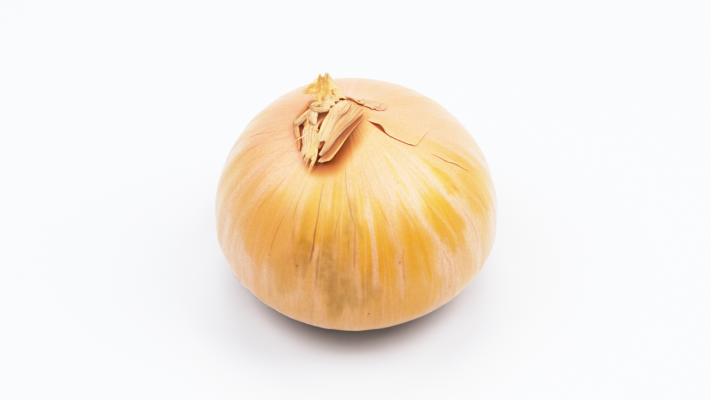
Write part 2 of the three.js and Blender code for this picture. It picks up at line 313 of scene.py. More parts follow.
# half outline of the bulb: from the middle of the hollow, round the foot, up to the neck
def bulbOutline():
    f = bulbForm
    hollow = f["hollowRadius"] - 0.4
    inner = [(hollow * k / 6, f["hollowDepth"] * (1 - 0.06 * (k / 6) ** 2)) for k in range(1, 7)]
    foot = [(8.3, 1.9), (8.7, 0.9), (9.3, 0.25), (10.0, 0.0), (11.0, 0.0)]
    floorAngle = math.asin((f["widestHeight"] / f["baseDrop"]) ** (f["basePower"] / 2))
    base = []
    for angle in np.linspace(floorAngle, 0, 50, endpoint=False):
        r = f["radius"] * math.cos(angle) ** (2 / f["basePower"])
        base.append((r, f["widestHeight"] - f["baseDrop"] * math.sin(angle) ** (2 / f["basePower"])))
    low = np.linspace(0, 0.8, 52, endpoint=False)
    high = np.linspace(0.8, math.pi / 2, 166, endpoint=False)
    crown = []
    for angle in np.concatenate([low, high]):
        r = f["radius"] * math.cos(angle) ** (2 / f["crownPower"])
        dome = f["crownRise"] * math.sin(angle) ** (2 / f["crownPower"])
        crown.append((r, f["widestHeight"] + dome + f["neckRise"] * math.exp(-((r / f["neckReach"]) ** 2))))
    return np.array(inner + foot + base + crown)


# how far the skin stands out: lobes, low ribs, single veins and pleats drawn in at the neck
def skinRelief(turn, r, z):
    f = bulbForm
    shoulder = np.clip(r / f["radius"], 0, 1) * (z > 0.3)
    relief = f["ribRelief"] * shoulder * np.cos(f["ribs"] * turn + f["ribWander"] * np.sin(3 * turn))
    for count, height, start in f["lobes"]:
        relief = relief + height * shoulder * np.cos(count * turn + start)
    draw = random.Random(11)
    for _ in range(f["veins"]):
        middle = draw.uniform(-math.pi, math.pi)
        wide = draw.uniform(0.015, 0.035)
        tall = f["veinRelief"] * draw.uniform(0.3, 1.0)
        sway = draw.uniform(-0.05, 0.05)
        off = (turn - middle - sway * np.sin(z * 0.07) + math.pi) % (2 * math.pi) - math.pi
        relief = relief + tall * np.exp(-((off / wide) ** 2)) * np.clip(r / 12, 0, 1) * (z > 0.3)
    nearNeck = np.exp(-((r / 11.0) ** 2)) * np.clip(r / 3, 0, 1) * (z > f["widestHeight"])
    folds = np.abs(np.sin(0.5 * f["pleats"] * turn + 2.0 * np.sin(2 * turn) + 0.8 * np.sin(5 * turn)))
    return relief + f["pleatRelief"] * nearNeck * (folds - 0.5) * 2


# how deep in a tear's opening a point lies: 1 behind its front line, 0 before it
def openingMask(x, y, tear):
    front = np.array(tear["front"])
    mask = np.zeros(np.shape(x))
    for start, end in zip(front[:-1], front[1:]):
        step = end - start
        length = np.hypot(*step)
        t = ((x - start[0]) * step[0] + (y - start[1]) * step[1]) / length ** 2
        behind = (step[0] * (y - start[1]) - step[1] * (x - start[0])) / length
        inside = np.clip(behind / 0.15 + 0.5, 0, 1) * (behind < tear["width"]) * (t > -0.05) * (t < 1.05)
        mask = np.maximum(mask, inside)
    return mask


def makeBulb(material):
    f = bulbForm
    outline = bulbOutline()
    columns = f["columns"]
    turn = np.linspace(-math.pi, math.pi, columns, endpoint=False)
    r = outline[:, 0][:, None]
    z = outline[:, 1][:, None]
    share = np.clip((z - f["widestHeight"]) / (f["crownRise"] + f["neckRise"]), 0, 1)
    grown = r + skinRelief(turn[None, :], r, z)
    x = grown * np.cos(turn) + f["lean"] * share ** f["leanPower"]
    y = grown * np.sin(turn)
    high = np.broadcast_to(z, x.shape)
    gap = openingMask(x, y, tears["split"]) * (high > f["widestHeight"])
    points = np.stack([x, y, high - tearMake["openingDepth"] * gap], -1).reshape(-1, 3)
    rows = len(outline)
    faces = []
    for i in range(rows - 1):
        a = i * columns
        for j in range(columns):
            k = (j + 1) % columns
            faces.append((a + j, a + k, a + columns + k, a + columns + j))
    bottom, top = rows * columns, rows * columns + 1
    summit = f["widestHeight"] + f["crownRise"] + f["neckRise"]
    points = np.vstack([points, [(0, 0, f["hollowDepth"]), (f["lean"], 0, summit)]])
    last = (rows - 1) * columns
    for j in range(columns):
        k = (j + 1) % columns
        faces.append((bottom, k, j))
        faces.append((last + j, last + k, top))
    piece = makePiece("bulb_skin", points, faces, material, sharp=80)
    # the opening before the split is sunk and takes the inner skin colour with painted shade
    addValues(piece, "tear", np.append(gap.ravel(), [0, 0]))
    addValues(piece, "rim", np.zeros(len(points)))
    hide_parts("bulb")
    return piece, (points, faces)


# heights of the finished skin straight above points in plan
def skinHeights(tree, x, y):
    heights = crownHeight(x, y)
    for i in np.ndindex(heights.shape):
        hit = tree.ray_cast(Vector((x[i], y[i], wellAbove)), Vector((0, 0, -1)))
        if hit[0] is not None:
            heights[i] = hit[0].z
    return heights


# smooth curve through hand-set points, one row of samples for each share of its length
def curveThrough(points, shares):
    p = np.array(points, float)
    p = np.vstack([2 * p[0] - p[1], p, 2 * p[-1] - p[-2]])
    place = np.clip(np.asarray(shares), 0, 1) * (len(points) - 1)
    i = np.minimum(place.astype(int), len(points) - 2)
    t = (place - i)[..., None]
    a, b, c, d = p[i], p[i + 1], p[i + 2], p[i + 3]
    square = 2 * a - 5 * b + 4 * c - d
    cube = 3 * b - a - 3 * c + d
    return 0.5 * (2 * b + (c - a) * t + square * t ** 2 + cube * t ** 3)


def unit(v):
    return v / np.maximum(np.linalg.norm(v, axis=-1, keepdims=True), 1e-9)


def gridNormals(grid):
    along = np.gradient(grid, axis=0)
    across = np.gradient(grid, axis=1)
    return unit(np.cross(along, across))


# closed thin sheet from a grid of middle points and half thicknesses
def sheetFrom(grid, half):
    rows, columns = grid.shape[:2]
    out = gridNormals(grid) * half[..., None]
    points = np.vstack([(grid + out).reshape(-1, 3), (grid - out).reshape(-1, 3)])
    under = rows * columns
    faces = []
    for i in range(rows - 1):
        for j in range(columns - 1):
            a = i * columns + j
            b, c, d = a + 1, a + columns, a + columns + 1
            faces.append((a, c, d, b))
            faces.append((under + a, under + b, under + d, under + c))
    rim = list(range(columns - 1))
    rim += [i * columns + columns - 1 for i in range(rows - 1)]
    rim += [(rows - 1) * columns + j for j in range(columns - 1, 0, -1)]
    rim += [i * columns for i in range(rows - 1, 0, -1)]
    for k, a in enumerate(rim):
        b = rim[(k + 1) % len(rim)]
        faces.append((a, b, under + b, under + a))
    return points, faces


# points at even steps along a polyline
def alongRoute(points, shares):
    p = np.array(points, float)
    run = np.concatenate([[0], np.cumsum(np.hypot(*np.diff(p[:, :2], axis=0).T))])
    return np.stack([np.interp(shares * run[-1], run, p[:, k]) for k in range(p.shape[1])], -1)


# the lifted skin behind a tear: its torn edge stands up and its far side lies in the skin
def makeFlap(name, tear, material, tree):
    s = np.linspace(0, 1, tearMake["rows"])
    t = np.linspace(0, 1, tearMake["columns"]) ** 1.7
    edge = alongRoute(tear["edge"], s)
    wobble = 0.05 * np.stack([np.sin(31 * s), np.sin(47 * s + 1)], -1)
    hinge = alongRoute(tear["hinge"], s)
    plan = (edge[:, :2] + wobble)[:, None] * (1 - t)[None, :, None] + hinge[:, None] * t[None, :, None]
    above = edge[:, 2:] * (1 - t[None, :]) ** 2.5
    above = above + 0.05 * (1 - t[None, :] ** 4) - 0.1 * t[None, :] ** 8
    ends = np.clip(np.minimum(s, 1 - s) * 14, 0, 1)[:, None]
    above = above * ends - 0.1 * (1 - ends)
    z = skinHeights(tree, plan[..., 0], plan[..., 1]) + above
    grid = np.dstack([plan, z])
    points, faces = sheetFrom(grid, np.full(grid.shape[:2], tearMake["thickness"] / 2))
    piece = makePiece(name, points, faces, material)
    upward = gridNormals(grid)[..., 2].mean() > 0
    # rim: the pale band along the lifted torn edge, its own paler colour with a painted highlight
    rim = np.clip(1 - np.hypot(*(plan - plan[:, :1]).T).T / 0.35, 0, 1) * (edge[:, 2:] > 0.1)
    # tear: the flap's underside takes the inner skin colour with painted shade
    inside = np.repeat([0.0, 1.0], rim.size)
    addValues(piece, "tear", inside if upward else inside[::-1])
    addValues(piece, "rim", np.tile(rim.ravel(), 2) * 0.7)
    return piece, (points, faces)


# skin: colour patches, as (azimuth, height, half width, half height, strength)
skinPatches = {
    "orange": [(-133, 45, 15, 10, 0.9), (-150, 46, 10, 7, 0.45), (-168, 48, 8, 10, 0.35),
               (-118, 46, 5.5, 12, 0.65), (-16, 46, 12, 9, 0.75), (-75, 30, 9, 8, 0.3),
               (-95, 22, 40, 7, 0.35), (-118, 51, 6, 4.5, 0.5), (-20, 56, 14, 5, 0.35)],
    "yellow": [(-45, 48, 8.5, 8.5, 1.0), (-38, 44.5, 4.5, 5, 0.8), (-62, 42, 7.5, 12, 1.0),
               (-77, 44, 4.5, 12, 0.95), (-85.5, 46, 3.6, 13, 0.9), (-30, 53.5, 4, 4.5, 0.7),
               (-55, 58, 2.2, 2.4, 0.5), (-113, 50, 4.2, 8, 0.75), (-101, 53.5, 9, 4.5, 0.6),
               (-94.5, 49, 4, 8, 0.75), (-104, 50.5, 6, 5, 0.9), (-66, 27, 8, 7, 0.7),
               (-24, 42, 5, 8, 0.35), (-77, 30, 5, 6, 0.5), (-58, 30, 4, 7, 0.6), (-52, 48, 3, 6, 0.6),
               (-118, 36, 6, 7, 0.4), (-97, 32, 9, 8, 0.5), (-84, 32, 6, 8, 0.6), (-106, 35, 5, 9, 0.4),
               (-90, 21, 30, 6, 0.25)],
    "straw": [(-104, 56, 15, 7, 0.8), (-40, 64.5, 42, 4.5, 0.45), (-126, 58, 9, 5, 0.35),
              (-86, 58, 8, 5, 0.4)],
    "olive": [(-112.5, 44, 4.4, 6.5, 0.75), (-101.5, 43, 5, 10, 0.85), (-97, 37, 6, 11, 0.85),
              (-91.5, 34, 4, 7, 0.6), (-92.5, 47, 4, 6, 0.5), (-85, 35, 4.6, 7.5, 0.7),
              (-120, 36, 6, 7, 0.3), (-97, 51, 10, 5, 0.3), (-90, 53, 5, 4, 0.8), (-118, 51, 5, 4, 0.3)],
}

# veins: three points down each as (azimuth, height), then half width in degrees and strength
skinVeins = {
    "dark": [
        ((-110.5, 60), (-108.7, 52), (-109.3, 42), 0.55, 0.85),
        ((-95.2, 62), (-92.5, 57), (-89.0, 52), 0.5, 0.75),
        ((-103.2, 61), (-101.8, 58), (-100.8, 54), 0.4, 0.4),
        ((-122.4, 59), (-121.4, 54), (-120.4, 50), 0.5, 0.45),
        ((-126.0, 52), (-127.3, 46), (-127.8, 40), 0.45, 0.5),
        ((-136.0, 58), (-139.0, 53), (-141.7, 47), 0.6, 0.3),
        ((-96.5, 55), (-98.4, 52), (-99.5, 49), 0.5, 0.4),
        ((-79.6, 62), (-75.4, 56), (-71.9, 50), 0.4, 0.45),
        ((-20.3, 47), (-19.0, 42), (-17.8, 38), 0.5, 0.35),
        ((-143.0, 61.4), (-149.0, 60.4), (-157.0, 59), 0.5, 0.4),
        ((-136.0, 60.6), (-141.0, 59), (-147.0, 56.5), 0.5, 0.35),
        ((-166.0, 61.0), (-168.5, 60), (-171.0, 58.5), 0.5, 0.35),
        ((171.0, 44), (174.5, 55), (184.0, 61), 0.5, 0.6),
        ((182.0, 47), (187.0, 57), (197.0, 62), 0.4, 0.45),
        ((192.0, 50), (199.0, 58), (209.0, 62), 0.4, 0.4),
        ((90.0, 62), (84.0, 59), (80.0, 55), 0.5, 0.35),
    ],
    "red": [
        ((-108.6, 51), (-108.4, 46), (-109.4, 41), 0.7, 0.5),
        ((-89.4, 53), (-90.0, 47), (-90.4, 41), 0.8, 0.5),
        ((-69.0, 45), (-70.0, 40), (-69.6, 34), 0.6, 0.35),
        ((-119.5, 50), (-117.8, 44), (-118.6, 39), 1.4, 0.2),
        ((-33.0, 47), (-31.8, 40), (-32.8, 32), 0.6, 0.25),
        ((-52.0, 42), (-49.6, 36), (-49.6, 28), 0.6, 0.25),
        ((-79.6, 47), (-80.0, 42), (-80.3, 37), 0.6, 0.2),
    ],
    "pale": [
        ((-80.6, 57), (-81.4, 47), (-82.3, 33), 2.0, 0.75),
        ((-84.4, 61), (-83.2, 57), (-81.4, 51), 1.1, 0.5),
        ((-58.8, 57), (-53.0, 46), (-48.5, 30), 1.7, 0.8),
        ((-39.0, 56), (-34.2, 46), (-32.5, 32), 2.2, 0.9),
        ((-48.0, 53), (-44.5, 46), (-42.6, 41), 1.0, 0.45),
        ((-88.6, 43), (-88.4, 37), (-88.2, 30), 1.2, 0.5),
        ((-106.6, 42), (-106.4, 36), (-106.6, 28), 1.3, 0.3),
        ((-70.8, 42), (-71.4, 36), (-71.5, 29), 1.3, 0.6),
        ((-119.6, 58), (-118.4, 53), (-117.0, 47), 1.8, 0.4),
        ((-68.5, 61), (-64.0, 55), (-60.5, 48), 1.2, 0.5),
        ((-24.5, 50), (-22.0, 44), (-21.0, 38), 1.2, 0.5),
        ((163.0, 65), (164.5, 60), (166.0, 55), 7.0, 0.8),
    ],
}

# small marks on the front, as (azimuth, height, half size in millimetres, strength)
skinMarks = [
    (163.6, 64.0, 0.45, 0.4), (-114.5, 40.0, 0.55, 0.8), (-111.1, 25.0, 0.3, 0.6), (-109.8, 25.1, 0.3, 0.6),
    (-85.0, 25.8, 0.5, 0.8), (-71.2, 41.8, 0.45, 0.8), (-68.6, 44.5, 0.3, 0.5), (-50.2, 43.3, 0.5, 0.35),
    (-49.9, 26.7, 0.5, 0.6), (-28.8, 51.2, 0.7, 0.3), (6.1, 43.8, 0.7, 0.7), (-57.6, 57.8, 0.3, 0.8),
    (-127.8, 39.6, 0.5, 0.4),
]

skinColours = {
    "peach": tint("F1CBB6"),
    "crown": tint("FBB7A8"),
    "paleVein": tint("F3BCA9"),
    "golden": tint("E1AF76"),
    "orange": tint("EBAE5A"),
    "yellow": tint("E4A81A"),
    "olive": tint("BC9436"),
    "grain": tint("CC9250"),
    "darkVein": tint("8A6A48"),
    "redVein": tint("C67C3C"),
    "neckStraw": tint("D9A265"),
    "straw": tint("E0AB78"),
    # painted shadow that the trough casts on the skin: its deep core, then its lighter outer part
    "paintedShadowCore": tint("A4580E"),
    "paintedShadow": tint("C88C3C"),
    # the opening under a tear: inner skin colour with painted shade
    "tearInnerAndShade": tint("C8783A"),
    # torn rim: the torn skin's paler colour with a painted highlight
    "tornRimHighlight": tint("F8DDB4"),
    "footBrown": tint("8D7257"),
    "speck": tint("B8621E"),
    "shade": tint("BE6616"),
}


# soft patch: 1 inside, 0 outside, on top of the patches so far
def buildPatch():
    tree, given, put = newGroup(
        "SoftPatch",
        [("Azimuth", number, 0.0), ("Height", number, 0.0), ("Middle", number, 0.0), ("Level", number, 0.0),
         ("Half Width", number, 5.0), ("Half Height", number, 5.0), ("Strength", number, 1.0),
         ("So Far", number, 0.0)],
        [("Mask", number)],
    )
    turn = minus(tree, given["Azimuth"], given["Middle"])
    turn = addMath(tree, "WRAP", turn, 180.0, -180.0)
    wide = addMath(tree, "ABSOLUTE", addMath(tree, "DIVIDE", turn, given["Half Width"]))
    tall = addMath(tree, "DIVIDE", minus(tree, given["Height"], given["Level"]), given["Half Height"])
    rounded = plus(tree, addMath(tree, "POWER", wide, 2.5), times(tree, tall, tall))
    inside = addRamp(tree, rounded, 0.1, 1.6, 1.0, 0.0)
    scaled = times(tree, inside, given["Strength"])
    feed(tree, put["Mask"], addMath(tree, "MAXIMUM", scaled, given["So Far"]))
    return tree


# vein: a line down the bulb whose azimuth bends with height, on top of the veins so far
def buildVein():
    tree, given, put = newGroup(
        "Vein",
        [("Azimuth", number, 0.0), ("Height", number, 0.0), ("Low", number, 0.0), ("High", number, 1.0),
         ("Start", number, 0.0), ("Slope", number, 0.0), ("Bend", number, 0.0), ("Half Width", number, 0.5),
         ("Strength", number, 1.0), ("So Far", number, 0.0)],
        [("Mask", number)],
    )
    span = minus(tree, given["High"], given["Low"])
    t = addMath(tree, "DIVIDE", minus(tree, given["Height"], given["Low"]), span)
    bend = addMath(tree, "MULTIPLY_ADD", t, given["Bend"], given["Slope"])
    middle = addMath(tree, "MULTIPLY_ADD", t, bend, given["Start"])
    off = addMath(tree, "WRAP", minus(tree, given["Azimuth"], middle), 180.0, -180.0)
    off = addMath(tree, "DIVIDE", addMath(tree, "ABSOLUTE", off), given["Half Width"])
    line = addRamp(tree, off, 0.2, 1.0, 1.0, 0.0)
    ends = times(tree, addRamp(tree, t, -0.05, 0.2), addRamp(tree, t, 1.05, 0.8))
    scaled = times(tree, times(tree, line, ends), given["Strength"])
    feed(tree, put["Mask"], addMath(tree, "MAXIMUM", scaled, given["So Far"]))
    return tree


def addPatches(tree, group, azimuth, height, spots):
    mask = 0.0
    for middle, level, wide, tall, strength in spots:
        values = {"Middle": float(middle), "Level": float(level), "Half Width": float(wide)}
        values.update({"Half Height": float(tall), "Strength": float(strength), "So Far": mask})
        mask = useGroup(tree, group, Azimuth=azimuth, Height=height, **values)["Mask"]
    return mask


def addVeins(tree, group, azimuth, height, veins):
    mask = 0.0
    for first, second, third, wide, strength in veins:
        angles, heights = zip(first, second, third)
        low, high = min(heights), max(heights)
        shares = [(h - low) / (high - low) for h in heights]
        bend, slope, start = [float(v) for v in np.polyfit(shares, angles, 2)]
        values = {"Low": float(low), "High": float(high), "Start": start, "Slope": slope, "Bend": bend}
        values.update({"Half Width": float(wide), "Strength": float(strength), "So Far": mask})
        mask = useGroup(tree, group, Azimuth=azimuth, Height=height, **values)["Mask"]
    return mask


def makeSkinMaterial():
    material, tree, shader = newMaterial(
        "onionSkin", **{"Roughness": 0.36, "Sheen Weight": 0.35, "Sheen Roughness": 0.4,
                        "Coat Weight": 0.1, "Coat Roughness": 0.3},
    )
    f = bulbForm
    place = tree.nodes.new("ShaderNodeTexCoord").outputs["Object"]
    x, y, z = [times(tree, v, 1 / mm) for v in splitVector(tree, place)]
    share = addMath(tree, "DIVIDE", minus(tree, z, f["widestHeight"]), f["crownRise"] + f["neckRise"])
    share = addMath(tree, "MINIMUM", addMath(tree, "MAXIMUM", share, 0.0), 1.0)
    x = minus(tree, x, times(tree, addMath(tree, "POWER", share, f["leanPower"]), f["lean"]))
    r = addMath(tree, "SQRT", plus(tree, times(tree, x, x), times(tree, y, y)))
    r = addMath(tree, "MAXIMUM", r, 0.05)
    azimuth = times(tree, addMath(tree, "ARCTAN2", y, x), math.degrees(1))
    dirX, dirY = [addMath(tree, "DIVIDE", v, r) for v in (x, y)]
    level = addMath(tree, "DIVIDE", z, 40.0)
    meridian = addVector(tree, dirX, dirY, level)
    turned = addVector(tree, dirY, dirX, level)

    def streaks(vector, across, along):
        return useGroup(tree, fibreGroup, Vector=vector, Across=across, Along=along)

    broad = streaks(meridian, 1.3, 1.4)["Coarse"]
    bands = streaks(meridian, 6.0, 0.9)
    fine = streaks(meridian, 22.0, 2.0)
    lines = streaks(meridian, 9.0, 0.5)["Lines"]
    hairs = streaks(turned, 34.0, 1.6)["Lines"]
    paleLines = streaks(turned, 14.0, 0.7)["Lines"]
    mottle = addNoise(tree, place, 1500.0, 2.0, 0.7)
    cloud = minus(tree, addNoise(tree, place, 160.0, 3.0, 0.55), 0.5)

    # patch ends feather along the fibres and their sides waver a little
    feather = times(tree, minus(tree, fine["Coarse"], 0.5), 13.0)
    feather = plus(tree, feather, times(tree, cloud, 9.0))
    azimuthHere = plus(tree, azimuth, times(tree, cloud, 7.0))
    heightHere = plus(tree, z, feather)
    patchGroup, veinGroup = buildPatch(), buildVein()
    orange, yellow, straw, olive = [
        addPatches(tree, patchGroup, azimuthHere, heightHere, skinPatches[kind])
        for kind in ("orange", "yellow", "straw", "olive")
    ]
    azimuthNear = plus(tree, azimuth, times(tree, cloud, 1.6))
    dark, red, pale = [
        addVeins(tree, veinGroup, azimuthNear, z, skinVeins[kind]) for kind in ("dark", "red", "pale")
    ]

    # the far side has patches of its own, by the same fibres
    strewn = plus(tree, streaks(meridian, 3.2, 1.1)["Coarse"], times(tree, feather, 0.006))
    strewn = times(tree, addRamp(tree, strewn, 0.48, 0.66, 0.0, 0.85), addRamp(tree, y, 2.0, 20.0))
    middleBand = times(tree, addRamp(tree, z, 10.0, 26.0), addRamp(tree, z, 60.0, 50.0))
    yellow = addMath(tree, "MAXIMUM", yellow, times(tree, strewn, middleBand))

    # pale veins cut through the patches
    cut = minus(tree, 1.0, times(tree, pale, 0.7))
    cut = times(tree, cut, addRamp(tree, bands["Fine"], 0.25, 0.55, 0.68, 1.0))
    yellow, olive = times(tree, yellow, cut), times(tree, olive, cut)
    olive = times(tree, olive, addRamp(tree, addNoise(tree, place, 330.0, 3.0, 0.6), 0.3, 0.66, 0.6, 1.0))

    lineStrength = addRamp(tree, bands["Fine"], 0.4, 0.7, 0.02, 0.18)
    specks = useGroup(tree, speckGroup, Vector=place, Scale=150.0, Size=0.05, Rarity=0.9)["Mask"]
    marks = [(turn, height, size, 0.7 * size, 0.85 * strength) for turn, height, size, strength in skinMarks]
    # painted shadow under the trough: 1 beside it, fading out at its reach
    paintedShadow = addAttribute(tree, "paintedShadowMask")
    colour = addLayers(tree, skinColours["peach"], skinColours, [
        ("golden", addRamp(tree, bands["Coarse"], 0.38, 0.66, 0.0, 0.8)),
        ("golden", addRamp(tree, broad, 0.45, 0.68, 0.0, 0.5)),
        ("crown", addRamp(tree, z, 46.0, 60.0, 0.0, 0.75)),
        ("straw", straw),
        ("golden", addRamp(tree, fine["Fine"], 0.32, 0.72, 0.0, 0.42)),
        ("paleVein", addRamp(tree, fine["Coarse"], 0.52, 0.78, 0.0, 0.4)),
        ("orange", orange),
        ("yellow", yellow),
        ("olive", olive),
        ("paleVein", times(tree, pale, 0.62)),
        ("paleVein", times(tree, paleLines, 0.3)),
        ("darkVein", times(tree, lines, lineStrength)),
        ("grain", times(tree, hairs, 0.2)),
        ("redVein", red),
        ("darkVein", times(tree, dark, 0.7)),
        ("grain", addRamp(tree, mottle, 0.3, 0.7, 0.0, 0.3)),
        ("neckStraw", addRamp(tree, r, 8.0, 4.0, 0.0, 0.6)),
        ("footBrown", addRamp(tree, z, 9.0, 2.0, 0.0, 0.9)),
        ("speck", times(tree, specks, 0.5)),
        ("speck", addPatches(tree, patchGroup, azimuth, z, marks)),
        # painted shadow under the trough: lighter orange outside, the deep red-brown core beside it
        ("paintedShadow", addRamp(tree, paintedShadow, 0.0, 0.5, 0.0, 0.9)),
        ("paintedShadowCore", addRamp(tree, paintedShadow, 0.25, 0.9, 0.0, 0.95)),
        ("shade", addRamp(tree, addAttribute(tree, "closeness"), 0.34, 0.95, 0.0, 0.85)),
        # torn rim: paler colour with a painted highlight along the lifted edge
        ("tornRimHighlight", addAttribute(tree, "rim")),
        # the opening under a tear: the inner skin's red-brown with painted shade
        ("tearInnerAndShade", addAttribute(tree, "tear")),
    ])
    feed(tree, shader.inputs["Base Color"], colour)

    height = plus(tree, times(tree, fine["Fine"], 0.7), times(tree, fine["Coarse"], 0.5))
    height = minus(tree, height, times(tree, dark, 0.6))
    height = plus(tree, height, times(tree, mottle, 0.2))
    addBump(tree, shader, height, 0.3, 0.0002)
    feed(tree, shader.inputs["Roughness"], addRamp(tree, fine["Coarse"], 0.3, 0.7, 0.32, 0.46))
    return material
